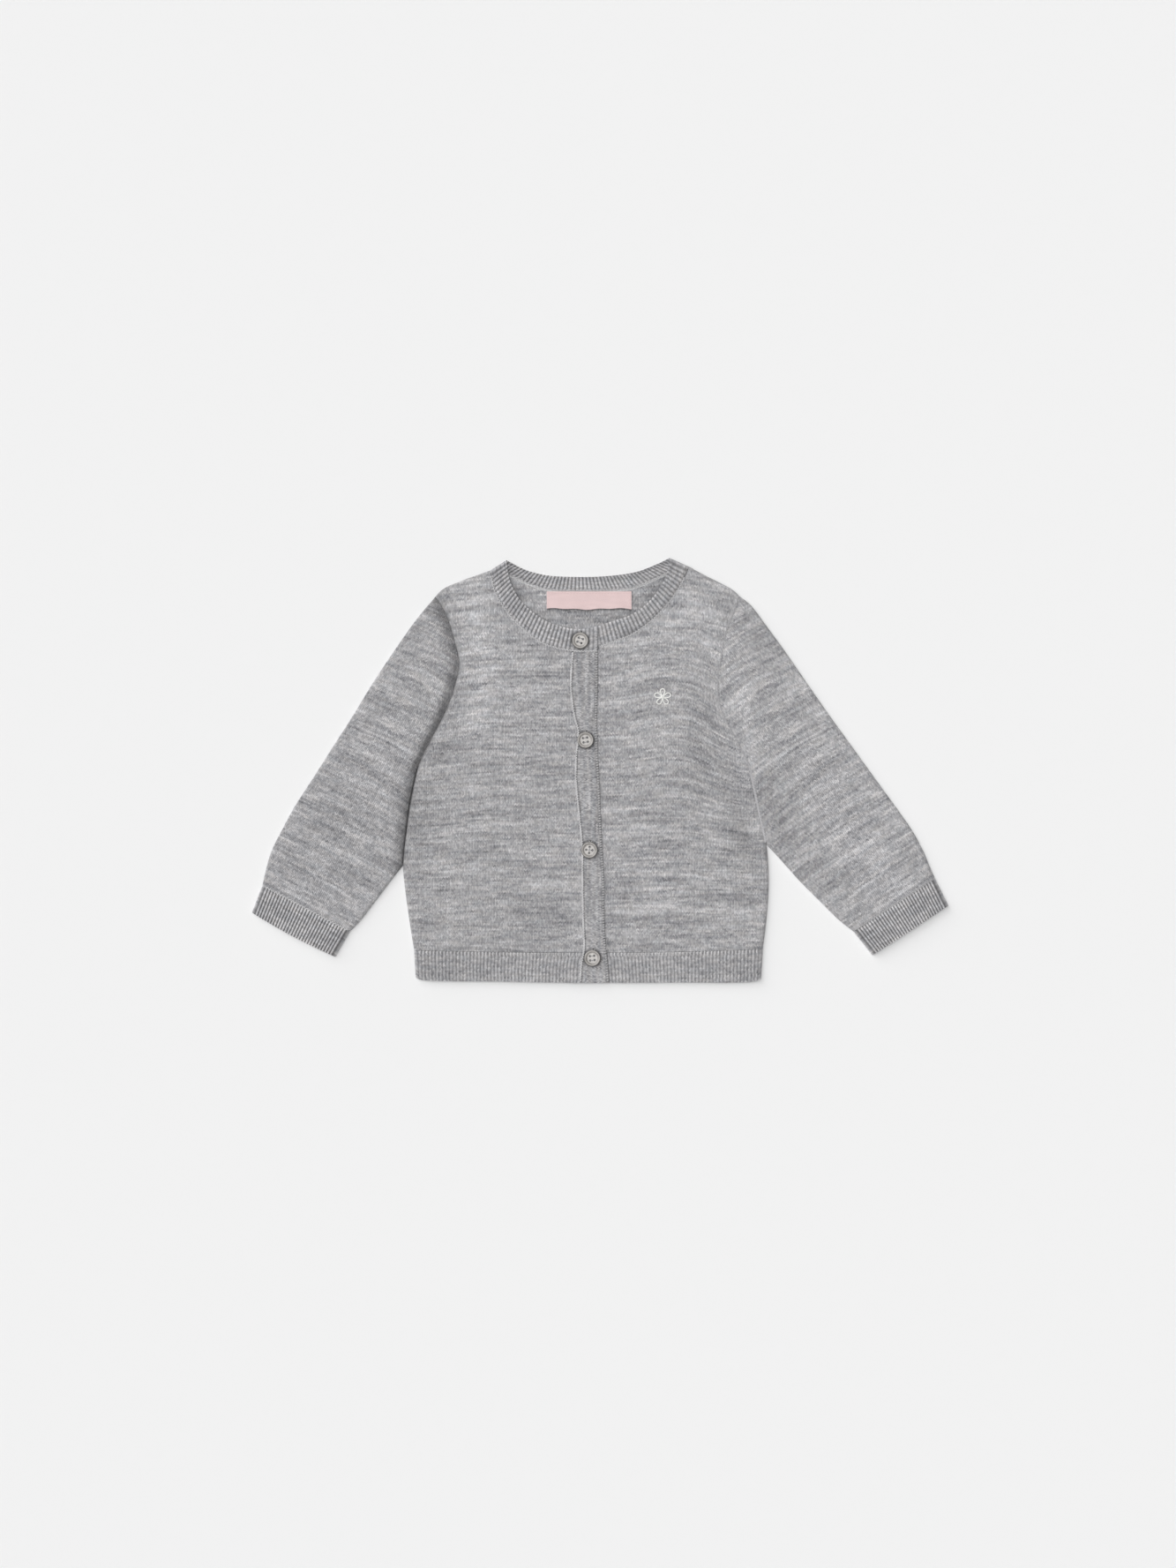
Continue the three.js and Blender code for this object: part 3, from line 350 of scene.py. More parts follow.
class Curve:
    """A smooth line through points, read by the share of its length.

    Between two points it is the cubic whose slopes come from the centripetal Catmull-Rom rule.
    """

    def __init__(self, points, steps=40):
        p = np.asarray(points, float)
        p = np.vstack([2 * p[0] - p[1], p, 2 * p[-1] - p[-2]])
        gap = np.sqrt(np.linalg.norm(np.diff(p, axis=0), axis=1))[:, None]
        before, here, after = gap[:-2], gap[1:-1], gap[2:]
        a, b, c, d = p[:-3], p[1:-2], p[2:-1], p[3:]
        leave = ((b - a) / before - (c - a) / (before + here) + (c - b) / here) * here
        arrive = ((c - b) / here - (d - b) / (here + after) + (d - c) / after) * here
        t = np.linspace(0, 1, steps, endpoint=False)[None, :, None]
        b, c, leave, arrive = b[:, None], c[:, None], leave[:, None], arrive[:, None]
        line = (b * (2 * t**3 - 3 * t**2 + 1) + leave * (t**3 - 2 * t**2 + t)
                + c * (3 * t**2 - 2 * t**3) + arrive * (t**3 - t**2))
        self.points = np.vstack([line.reshape(-1, p.shape[1]), p[-2]])
        run = run_of(self.points)
        self.length, self.share = run[-1], run / run[-1]

    def __call__(self, share):
        return read(self.points, self.share, share)

    def nearest(self, point):
        """The share at which the line passes nearest to a point."""
        return self.share[np.argmin(np.linalg.norm(self.points - point, axis=1))]

    def part(self, start, end):
        """The stretch between two shares as a function of 0 to 1."""
        return lambda share: self(mix(start, end, share))


def straight(start, end, bow=(0, 0)):
    """The line from start to end, which bows out by the sine of half a turn."""
    start, end, bow = (np.asarray(point, float) for point in (start, end, bow))

    def place(share):
        share = np.asarray(share)[..., None]
        return mix(start, end, share) + np.sin(np.pi * share) * bow
    return place


def joined(first, second, meet):
    """Two stretches end to end, which meet at a given share."""
    return lambda share: np.where(
        (share < meet)[..., None], first(share / meet), second((share - meet) / (1 - meet)))


def patch(low, high, inner, outer):
    """The Coons patch of four edges: both pairs of edges blended straight, less the blend of the corners."""
    def place(s, t):
        s, t = np.broadcast_arrays(s, t)
        a, b = s[..., None], t[..., None]
        corners = [edge(np.full_like(s, end)) for edge in (low, high) for end in (0.0, 1.0)]
        return (low(s) * (1 - b) + high(s) * b + inner(t) * (1 - a) + outer(t) * a
                - (1 - a) * (1 - b) * corners[0] - a * (1 - b) * corners[1]
                - (1 - a) * b * corners[2] - a * b * corners[3])
    return place


def pace(place, s, t, along):
    """Millimetres a share at a point, across (0) or along (1), from a small step inwards."""
    step = 0.01
    s, t = np.broadcast_arrays(np.asarray(s, float), np.asarray(t, float))
    inward = lambda share: np.where(share > 0.5, share - step, share + step)
    other = place(s, inward(t)) if along else place(inward(s), t)
    return np.linalg.norm(other - place(s, t), axis=-1) / step


def ripple(x, y, folds=FOLDS):
    """The sum of the folds' rises, each times the bell of the distance from its line."""
    total = np.zeros(np.shape(x))
    for x1, y1, x2, y2, spread, rise in folds:
        dx, dy = x2 - x1, y2 - y1
        along = np.clip(((x - x1) * dx + (y - y1) * dy) / (dx * dx + dy * dy), 0, 1)
        away = np.hypot(x - x1 - along * dx, y - y1 - along * dy)
        total += rise * bell(away, spread)
    return total


def band_at(column, y):
    """The x of the outer band's seam (1) or free edge (2) at a height y."""
    return np.interp(y, BAND[:, 0], BAND[:, column])


def band_line(column, shift=0):
    """The outer band's seam (1) or free edge (2) from the hem up, moved sideways by shift."""
    return Curve(np.stack([BAND[:, column] + shift, BAND[:, 0]], axis=1))


def top_of(side, x, y):
    """The upper face of a front: its soft folds, which run into the band's height beside the placket."""
    lying = FRONT_TOP + ripple(x, y)
    beside = (x - band_at(BAND_LINE[side], y)) / PLACKET_SLOPE
    if side == "right":
        return mix(lying, OVER_BAND_TOP, smooth(beside + 1))
    return mix(UNDER_BAND_TOP, lying, smooth(beside))


def rib(phase):
    """A rib's height from 0 to 1: a rounded crest in the middle of each whole phase."""
    return np.abs(np.sin(np.pi * phase)) ** 0.9


# meshes

def quads(index):
    """The quads of a grid of vertex numbers."""
    return np.stack([index[:-1, :-1], index[1:, :-1], index[1:, 1:], index[:-1, 1:]], axis=-1).reshape(-1, 4)


def outward(points, faces):
    """The faces turned so that the body's volume is positive."""
    a, b, c, d = (points[faces[:, k]] for k in range(4))
    volume = (a * np.cross(b, c)).sum() + (a * np.cross(c, d)).sum()
    return faces if volume > 0 else faces[:, ::-1]


def closed_wall(outside, inside, loops=False):
    """A closed cloth wall: a grid of points, the grid of their partners and a strip along each free edge."""
    columns, rows = outside.shape[:2]
    index = np.arange(columns * rows).reshape(columns, rows)
    count = columns * rows
    if loops:
        index = np.vstack([index, index[:1]])
    lines = [index[:, 0], index[::-1, -1]]
    if not loops:
        lines += [index[-1], index[0, ::-1]]
    faces = [quads(index), quads(index + count)[:, ::-1]]
    faces += [np.stack([line[:-1], line[:-1] + count, line[1:] + count, line[1:]], axis=-1) for line in lines]
    points = np.concatenate([outside.reshape(-1, 3), inside.reshape(-1, 3)])
    return points, outward(points, np.concatenate(faces))


def turned_body(rings, loops=False):
    """The body of a grid whose columns go round it, closed at both ends by fans of quads unless it loops."""
    sides, count = rings.shape[:2]
    index = np.arange(sides * count).reshape(sides, count)
    around = np.vstack([index, index[:1]])
    if loops:
        faces = [quads(np.hstack([around, around[:, :1]]))]
    else:
        fan = [[0, k, k + 1, k + 2] for k in range(1, sides - 1, 2)]
        faces = [quads(around), index[:, 0][fan], index[:, -1][fan][:, ::-1]]
    points = rings.reshape(-1, 3)
    return points, outward(points, np.concatenate(faces))


def rod(path, radius, sides=6, loops=False):
    """A round rod along a path: at each point a circle square to the path, with flat ends unless it loops."""
    path = np.asarray(path, float)
    ahead = np.roll(path, -1, 0) - np.roll(path, 1, 0) if loops else np.gradient(path, axis=0)
    ahead /= np.linalg.norm(ahead, axis=1)[:, None] + 1e-12
    across = np.cross(ahead, (0, 0, 1.0))
    across /= np.linalg.norm(across, axis=1)[:, None] + 1e-12
    up = np.cross(across, ahead)
    turn = np.arange(sides) * 2 * np.pi / sides
    radius = np.broadcast_to(radius, len(path))[None, :, None]
    circle = np.cos(turn)[:, None, None] * across + np.sin(turn)[:, None, None] * up
    return turned_body(path + radius * circle, loops)


def lathe(profile, turns):
    """A turned body: the profile's radius and height carried round +Z, closed on the axis by short rings."""
    radius, height = np.asarray(profile, float).T
    turn = np.arange(turns) * 2 * np.pi / turns
    around = np.cos(turn)[:, None] * radius, np.sin(turn)[:, None] * radius
    return turned_body(np.stack([*around, np.tile(height, (turns, 1))], axis=-1))


def together(parts):
    """Several bodies as one list of points and one of faces."""
    start = np.cumsum([0] + [len(points) for points, _ in parts])
    return (np.concatenate([points for points, _ in parts]),
            np.concatenate([faces + first for (_, faces), first in zip(parts, start)]))


def mesh_object(name, body, uv=None, tone=1.0, sharp=50):
    """A smooth-shaded mesh object at the origin, in metres, with its stitches as a UV map and its tone.

    The tone is an attribute that the materials multiply the colour by: painted shade in creases, beside edges
    and in holes, painted light on turned rims and where the light falls fuller, and a seam yarn's own shade.
    """
    points, faces = body
    mesh = bpy.data.meshes.new(name)
    mesh.vertices.add(len(points))
    mesh.vertices.foreach_set("co", (points * MM).ravel())
    mesh.loops.add(faces.size)
    mesh.loops.foreach_set("vertex_index", faces.ravel())
    mesh.polygons.add(len(faces))
    mesh.polygons.foreach_set("loop_start", np.arange(0, faces.size, faces.shape[1]))
    mesh.polygons.foreach_set("use_smooth", np.ones(len(faces), bool))
    mesh.update(calc_edges=True)
    mesh.validate()
    depth = mesh.attributes.new("Tone", "FLOAT", "POINT")
    depth.data.foreach_set("value", np.full(len(points), tone))
    if uv is not None:
        layer = mesh.uv_layers.new(name="Stitches")
        layer.data.foreach_set("uv", uv[faces.ravel()].ravel())
    mesh.set_sharp_from_angle(angle=math.radians(sharp))
    piece = bpy.data.objects.new(name, mesh)
    bpy.context.scene.collection.objects.link(piece)
    return piece


def cut_out(piece, cutters, tone):
    """Takes the cutters' bodies out of a piece with a Boolean modifier, and keeps the result as its mesh.

    The tone is a function of the points in millimetres, so that a cut's walls get a painted shade and its rim
    does not.
    """
    for number, body in enumerate(cutters):
        tool = mesh_object(f"{piece.name}_cutter_{number}", body)
        change = piece.modifiers.new(tool.name, "BOOLEAN")
        change.operation, change.solver, change.object = "DIFFERENCE", "EXACT", tool
    bpy.context.view_layer.update()
    cut = bpy.data.meshes.new_from_object(piece.evaluated_get(bpy.context.evaluated_depsgraph_get()))
    cut.name = piece.name
    tools = [change.object for change in piece.modifiers]
    piece.modifiers.clear()
    piece.data = cut
    for tool in tools:
        bpy.data.objects.remove(tool)
    points = np.zeros(3 * len(cut.vertices))
    cut.vertices.foreach_get("co", points)
    cut.attributes["Tone"].data.foreach_set("value", tone(points.reshape(-1, 3) / MM))
    return piece


def dress(piece, material, slot, *nodes):
    """Gives a piece its material, its body and the nodes that it stands for; the slot is not used."""
    piece.data.materials.clear()
    piece.data.materials.append(material)
    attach(piece, "root")
    if nodes:
        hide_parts(*nodes)
    return piece


# materials

class Socket:
    """A node's output whose arithmetic adds Math nodes."""

    def __init__(self, graph, output):
        self.graph, self.output = graph, output

    def __add__(self, other):
        return self.graph.maths("ADD", self, other)

    def __sub__(self, other):
        return self.graph.maths("SUBTRACT", self, other)

    def __rsub__(self, other):
        return self.graph.maths("SUBTRACT", other, self)

    def __mul__(self, other):
        return self.graph.maths("MULTIPLY", self, other)

    def __pow__(self, other):
        return self.graph.maths("POWER", self, other)

    def __abs__(self):
        return self.graph.maths("ABSOLUTE", self)

    __radd__, __rmul__ = __add__, __mul__


class Graph:
    """A material's node tree."""

    def __init__(self, name):
        self.material = bpy.data.materials.new(name)
        self.material.use_nodes = True
        self.tree = self.material.node_tree
        self.tree.nodes.clear()

    def node(self, kind, settings=(), inputs=(), output=0):
        """Adds a node, sets it, fills its sockets with values or links, and gives one output."""
        node = self.tree.nodes.new(kind)
        for key, value in dict(settings).items():
            if key == "stops":
                self.fill_ramp(node.color_ramp, value)
            else:
                setattr(node, key, value)
        for key, value in dict(inputs).items():
            if isinstance(value, Socket):
                self.tree.links.new(value.output, node.inputs[key])
            else:
                node.inputs[key].default_value = value
        return Socket(self, node.outputs[output]) if node.outputs else None

    def fill_ramp(self, ramp, stops):
        """Gives a ramp its stops."""
        while len(ramp.elements) < len(stops):
            ramp.elements.new(1)
        for element, (position, shown) in zip(ramp.elements, stops):
            element.position, element.color = position, shown

    def maths(self, operation, *values):
        """A Math node of the values."""
        return self.node("ShaderNodeMath", {"operation": operation}, dict(enumerate(values)))

    def axes(self, vector):
        """The three numbers of a vector."""
        node = self.node("ShaderNodeSeparateXYZ", inputs={0: vector}).output.node
        return [Socket(self, output) for output in node.outputs]

    def vector(self, x, y, z=0.0):
        """A vector of three numbers."""
        return self.node("ShaderNodeCombineXYZ", inputs={0: x, 1: y, 2: z})

    def noise(self, vector, scale=1.0, detail=2.0, rough=0.5):
        """Soft noise at a vector."""
        return self.node("ShaderNodeTexNoise", inputs={
            "Vector": vector, "Scale": scale, "Detail": detail, "Roughness": rough})

    def ramp(self, stops, factor):
        """A colour ramp's colour at a factor."""
        return self.node("ShaderNodeValToRGB", {"stops": stops}, {0: factor})

    def scaled(self, tint, factor):
        """A colour times a number."""
        return self.node("ShaderNodeVectorMath", {"operation": "SCALE"}, {0: tint, "Scale": factor})

    def multiplied(self, first, second):
        """A colour times a colour."""
        return self.node("ShaderNodeMix", {"data_type": "RGBA", "blend_type": "MULTIPLY"},
                         {0: 1.0, 6: first, 7: second}, 2)

    def place(self):
        """The place on the piece, in metres."""
        return self.node("ShaderNodeTexCoord", output=3)

    def stitches(self):
        """The stitches across and up at a place of the piece."""
        return self.axes(self.node("ShaderNodeUVMap", {"uv_map": "Stitches"}))[:2]

    def tone(self):
        """The piece's tone attribute: painted shade from its creases, edges and holes, painted light, and a
        yarn's own shade.
        """
        return self.node("ShaderNodeAttribute", {"attribute_name": "Tone"}, output=2)

    def bump(self, height, depth):
        """The normal of a height from 0 to 1 that stands for a depth in metres."""
        return self.node("ShaderNodeBump", inputs={"Height": height, "Distance": depth, "Strength": 1.0})

    def surface(self, **inputs):
        """Ends the tree with a Principled shader and gives the material."""
        named = {key.replace("_", " ").title().replace("Ior", "IOR"): value for key, value in inputs.items()}
        shader = self.node("ShaderNodeBsdfPrincipled", inputs=named)
        self.node("ShaderNodeOutputMaterial", inputs={"Surface": shader})
        return self.material


def knit_material(name, wale, course, tint=1.0, slant=1.7, relief=0.00025, contrast=1.0, ribbed=None,
                  fleck=0.3, label_shade=False):
    """Heather knit on the UV map, which counts stitches across and up.

    Each stitch is a V: its legs are highest a quarter of the way from its middle and lean by slant courses,
    and dips part it from the next, where the colour has a painted shade. The yarn's shade runs in dashes along
    each course, in longer streaks over two or three, and in broad bands, and changes by fleck from strand to
    strand.
    A rib's stitch is highest in its middle, and the valley beside it has a painted shade by ribbed. With
    label_shade the colour has a painted shadow below the label's free edge.
    """
    graph = Graph(name)
    u, v = graph.stitches()
    away = abs(graph.maths("FRACT", u) - 0.5)
    if ribbed:
        crown = graph.maths("COSINE", away * math.pi)
        leg = crown ** 0.6
    else:
        leg = graph.maths("SINE", away * (2 * math.pi)) ** 0.7
    climb = v + away * slant
    loop = graph.maths("SINE", graph.maths("FRACT", climb) * math.pi)
    stitch = leg * (loop * 0.5 + 0.5)
    across, up = u * wale, v * course
    row = graph.maths("FLOOR", climb)
    thread = graph.noise(graph.vector(across * 0.045, row * 3.7, 21.0), detail=2.0)
    dash = graph.noise(graph.vector(across * 0.18, row * 3.7, 1.0), detail=3.0, rough=0.55)
    streak = graph.noise(graph.vector(across * 0.055, up * 0.42, 5.0), detail=3.0, rough=0.6)
    broad = graph.noise(graph.vector(across * 0.016, up * 0.12, 9.0), detail=2.0)
    strand = graph.vector(graph.maths("FLOOR", u * 2), row)
    speck = graph.node("ShaderNodeTexWhiteNoise", {"noise_dimensions": "2D"}, {"Vector": strand})
    heather = 0.5 + contrast * ((thread - 0.5) * 0.5 + (dash - 0.5) * 0.6 + (streak - 0.5) * 0.72
                                + (broad - 0.5) * 0.6) + (speck - 0.5) * fleck
    yarn = graph.ramp([(0.12, shade("wool_dark")), (0.5, shade("wool")), (0.88, shade("wool_light"))], heather)
    hue = graph.noise(graph.vector(across * 0.09, up * 0.3, 15.0), detail=2.0)
    cool, plain, warm = (0.965, 0.985, 1.0, 1), (1, 1, 1, 1), (1.0, 0.985, 0.965, 1)
    body = graph.multiplied(yarn, graph.ramp([(0.3, cool), (0.5, plain), (0.7, warm)], hue))
    fuzz = graph.noise(graph.vector(across * 6.0, up * 6.0, 2.0), detail=3.0, rough=0.7)
    # Painted shade: darker in the dips between stitches, with ribbed in the rib valleys and with label_shade
    # below the label; the tone adds the piece's painted light and shade
    light = stitch * 0.3 + 0.84 + (fuzz - 0.5) * 0.12
    if ribbed:
        light = light * (1 - ribbed * (1 - crown))
    if label_shade:
        light = light * below_label(graph)
    coloured = graph.scaled(body, light * graph.tone() * tint)
    normal = graph.bump(stitch + (fuzz - 0.5) * 0.35, relief)
    return graph.surface(base_color=coloured, roughness=0.92 - 0.06 * stitch, normal=normal,
                         sheen_weight=0.25, sheen_roughness=0.6, specular_ior_level=0.2)


def below_label(graph):
    """The shade below the label's free edge, which follows its wave: a dark line and a soft one beyond it.

    Each is its depth times exp(-rate times (distance from its middle)²).
    """
    x, y, _ = graph.axes(graph.place())
    share = (x * (1 / MM) - LABEL["left"]) * (1 / (LABEL["right"] - LABEL["left"]))
    covered = graph.maths("LESS_THAN", abs(share - 0.5), 0.5)
    wave = 0.35 * graph.maths("SINE", share * 9.0 + 0.6) + 0.25 * graph.maths("SINE", share * 23.0)
    below = LABEL["bottom"] + wave - y * (1 / MM)
    lines = [graph.maths("EXPONENT", (below - middle) * (below - middle) * -rate) * depth
             for middle, rate, depth in ((0.5, 1.3, 0.42), (1.5, 0.16, 0.14))]
    return 1 - covered * (lines[0] + lines[1])


def yarn_material(name, tint):
    """Spun yarn: fine strands across it and a little change of shade along it."""
    graph = Graph(name)
    place = graph.place()
    strand = graph.noise(place, 2600, 2.0, 0.6)
    light = (strand * 0.3 + 0.72 + graph.noise(place, 240, 2.0) * 0.26) * graph.tone()
    coloured = graph.scaled(tint[:3], light)
    return graph.surface(base_color=coloured, roughness=0.85 + 0.1 * strand, normal=graph.bump(strand, 0.0001),
                         sheen_weight=0.2, specular_ior_level=0.25)


def satin_material(name):
    """Woven satin: floats along the ribbon in fine rows, broken in steps, with soft clouds in its colour."""
    graph = Graph(name)
    u, v = graph.stitches()
    row = graph.maths("SINE", v * (2 * math.pi))
    step = graph.maths("SINE", (u + graph.maths("FLOOR", v) * 0.4) * (2 * math.pi))
    weave = (row * 0.5 + 0.5) ** 0.5 * (0.8 + 0.2 * step)
    cloud = graph.noise(graph.vector(u * 0.05, v * 0.12), detail=2.0)
    coloured = graph.scaled(shade("label")[:3], weave * 0.14 + 0.84 + cloud * 0.12)
    return graph.surface(base_color=coloured, roughness=0.42 + 0.12 * weave, normal=graph.bump(weave, 0.00006),
                         sheen_weight=0.15, specular_ior_level=0.4)


def button_material(name):
    """Shell-like resin: clouds and fine streaks under a satin coat."""
    graph = Graph(name)
    place = graph.place()
    cloud = graph.noise(place, 260, 4.0, 0.6)
    streak = graph.noise(graph.node("ShaderNodeMapping", {"vector_type": "POINT"}, {
        "Vector": place, "Scale": (700, 180, 300), "Rotation": (0, 0, 0.6)}), 1.0, 3.0)
    stops = [(at, tuple(min(1, share * value) for value in shade("button")[:3]) + (1,))
             for at, share in ((0.25, 0.66), (0.5, 1), (0.75, 1.35))]
    # The tone attribute brings the disc's painted shade on its rim, in its groove and holes, and painted light
    # on its dish
    coloured = graph.scaled(graph.ramp(stops, cloud * 0.6 + streak * 0.4), graph.tone())
    return graph.surface(base_color=coloured, roughness=0.3 + 0.15 * cloud, normal=graph.bump(streak, 0.00004),
                         coat_weight=0.3, coat_roughness=0.25, specular_ior_level=0.45)


def plain_material(name, tint):
    """Matt paper with the least grain."""
    graph = Graph(name)
    grain = graph.noise(graph.place(), 90, 2.0)
    coloured = graph.scaled(tint[:3], grain * 0.004 + 0.998)
    return graph.surface(base_color=coloured, roughness=1.0, specular_ior_level=0.0)


def knit(name):
    """The knit of that name, made once."""
    size, share, finish = KNITS[name]
    made = bpy.data.materials.get(name)
    return made or knit_material(name, mm(size) * share, mm("course"), **finish)


def seam_yarn():
    """The yarn of the seams, made once."""
    return bpy.data.materials.get("seam_yarn") or yarn_material("seam_yarn", shade("seam"))


# stitches, and painted light and shade, of each piece

def body_stitches(points):
    """Stitch counts of the body: courses level, rising a little and then drooping towards the left armhole."""
    x, y = points[:, 0], points[:, 1]
    high = smooth((y + 90) / 130) * (1 - 0.65 * smooth((y - 55) / 50))
    lift = 5.5 * bell(x - 48, 26) * high - 16 * smooth((x - 58) / 48) * high
    lift -= 5 * smooth((-x - 70) / 60) * smooth((y + 120) / 120)
    down = points[:, 2]
    turned, topped = down * np.clip(x / 60, -1, 1), down * smooth((y - 100) / 20)
    return np.stack([(x - turned) / mm("wale"), (y - lift - topped) / mm("course")], axis=1)


def sleeve_stitches(points, side):
    """Stitch counts of a sleeve: courses run along its cuff's seam, slightly arched."""
    outer, inner = (np.array(corner) for corner in CUFF[side][:2])
    across = (inner - outer) / np.linalg.norm(inner - outer)
    up = np.array([-across[1], across[0]]) * np.sign(across[0])
    from_cuff = points[:, :2] - (outer + inner) / 2
    reach, rise = from_cuff @ across, from_cuff @ up
    arch = 0.0022 * reach**2 * np.clip(rise / 120, 0, 1)
    turned = points[:, 2] * np.clip(reach / 15, -1, 1)
    return np.stack([(reach - turned) / mm("wale"), (rise + arch) / mm("course")], axis=1)


def rim_painted_light(points):
    """Painted light on a thin turned edge: 1 + 0.45 times the square of how far it has turned down."""
    turned = np.clip((RIM_START - points[:, 2]) / (RIM_START - FOLD_MIDDLE), 0, 1)
    return np.where(points[:, 2] > FOLD_MIDDLE - 0.1, 1 + 0.45 * turned**2, 1)


def cloth_painted_shading(points, side, part):
    """The painted light and shade of the body or the sleeve: the broad shades, the shade at its armhole and at
    its placket, and the light on its turned rims.
    """
    x, y = points[:, 0], points[:, 1]
    line = body_edge(side)
    away = distance(x, y, line(np.linspace(line.nearest(NOTCH[side]), 1, 160)))
    shades = ARMHOLE_SHADES[side][part]
    beside = 1 - sum(depth * bell(away - middle, spread) for middle, spread, depth in shades)
    tone = (1 + ripple(x, y, SHADES)) * beside * rim_painted_light(points)
    if part == "body":
        # Painted shade beside the outer band's seam on the right front, and painted light beside its free edge
        # on the left
        depth = 0.2 if side == "right" else -0.1
        tone = tone * (1 - depth * bell(x - band_at(BAND_LINE[side], y), 1.3))
    return tone


def from_neck_edge(points):
    """The distance of each point from the fronts' free neck edge."""
    shares = np.linspace(0, 1, 160)
    path = np.concatenate([Curve(NECK_EDGE[side])(shares) for side in ("right", "left")])
    return distance(points[:, 0], points[:, 1], path)


def inner_painted_shade(points):
    """The painted shade of the back: darker below the neckband's front edges, most at the wearer's left."""
    depth = mix(0.13, 0.26, np.clip((points[:, 0] + 10) / 30, 0, 1))
    return 1.09 * (1 - depth * bell(from_neck_edge(points), 6))


def neck_painted_shade(points):
    """The tone of the neckband: the painted shade round the button, and lighter along the free edge of the
    fronts.
    """
    light = 0.16 * bell(from_neck_edge(points), 1.3) * (points[:, 2] > FOLD_MIDDLE)
    return button_painted_shade(points) * (1 + light)


def strip_stitches(ribs, rows, width):
    """Stitch counts of a ribbed strip: one V a rib, and courses along it."""
    grid = np.stack(np.broadcast_arrays(ribs[:, None], (rows * width / mm("course"))[None, :]), axis=-1)
    flat = grid.reshape(-1, 2).astype(float)
    return np.concatenate([flat, flat])


# cloth of each piece

def body_edge(side):
    """The body's outer edge from the hem seam up to the shoulder tip."""
    return Curve(SIDE[side][::-1] + ARMHOLE[side][::-1][1:])


def edge_share(row):
    """Where on the body's edge a row of a front ends."""
    upper = mix(NECK_CORNER_ON_EDGE, 1, (row - NECK_CORNER_ROW) / (1 - NECK_CORNER_ROW))
    return np.where(row < NECK_CORNER_ROW, row / NECK_CORNER_ROW * NECK_CORNER_ON_EDGE, upper)


def stations(level, turned):
    """Shares from 0 to 1 over a piece's level part, and each station's turn, which then goes over its edge."""
    share = np.concatenate([np.linspace(0, 1, level), np.ones(turned)])
    return share, np.concatenate([np.full(level, FLAT), np.linspace(FLAT, 0, turned + 1)[1:]])


def zone(turns, seam, reach, gap, inside):
    """Distance from an edge of the stations where it turns over.

    A folded edge follows a quarter of an ellipse, whose inside starts a wall further in, and a sewn edge
    goes down evenly over its reach. seam blends from the first to the second.
    """
    start = gap + (mm("wall") if inside else 0)
    folded = start + (gap + FOLD_REACH - start) * (1 - np.cos(turns))
    sewn = mm("seam_gap") / 2 + reach * turns / FLAT
    return mix(folded, sewn, seam)


def front(side, columns=96, rows=190):
    """A front as a closed wall: a patch from its centre to its side, whose upper face has the soft folds."""
    edge, centre = body_edge(side), band_line(BAND_LINE[side])
    hem, neck = Curve(HEM_SEAM), Curve(NECK_SEAM[side])
    start, corner = centre.nearest(HEM_CORNER[side]), neck.nearest(NECK_CORNER[side])
    place = patch(
        hem.part(hem.nearest(centre(start)), SIDE_END[side]),
        Curve(SHOULDER[side]).part(1, 0),
        joined(centre.part(start, 1), neck.part(corner, 1), NECK_CORNER_ROW),
        lambda row: edge(edge_share(row)))
    (s, turn_s), (t, turn_t) = stations(columns, 9), stations(rows, 8)
    seam = smooth((edge_share(t) - edge.nearest(UNDERARM[side])) / UNDERARM_BLEND + 0.5)
    near, wide = pace(place, 0.0, t, 0), pace(place, 1.0, t, 0)
    s, turn_s = s[:, None], turn_s[:, None]
    low, high = (pace(place, s * 0.98 + 0.01, end, 1) for end in (0.0, 1.0))
    gap = mm("seam_gap") / 2
    reach = ARMHOLE_DIP_BODY[side]
    walls = []
    for inside in (False, True):
        lining = mm("wall") if inside else 0
        last = 1 - zone(FLAT, seam, reach, 0, inside) / wide
        over = 1 - zone(turn_s, seam, reach, 0, inside) / wide
        share_s = np.where(turn_s < FLAT, over, mix(gap / near, last, s))
        over = 1 - zone(turn_t, 0, 0, 0, inside) / high
        share_t = np.where(turn_t < FLAT, over, mix(gap / low, 1 - FOLD_REACH / high, t))
        flat = place(share_s, share_t)
        full = top_of(side, flat[..., 0], flat[..., 1]) - lining
        sewn = mix(ARMHOLE_TOP[side] - lining, full, smooth(turn_s / FLAT))
        upper = mix(mix(FRONT_RIM, full, np.sin(turn_s)), sewn, seam)
        walls.append(raised(flat, mix(FRONT_RIM, upper, np.sin(turn_t))))
    return closed_wall(*walls)


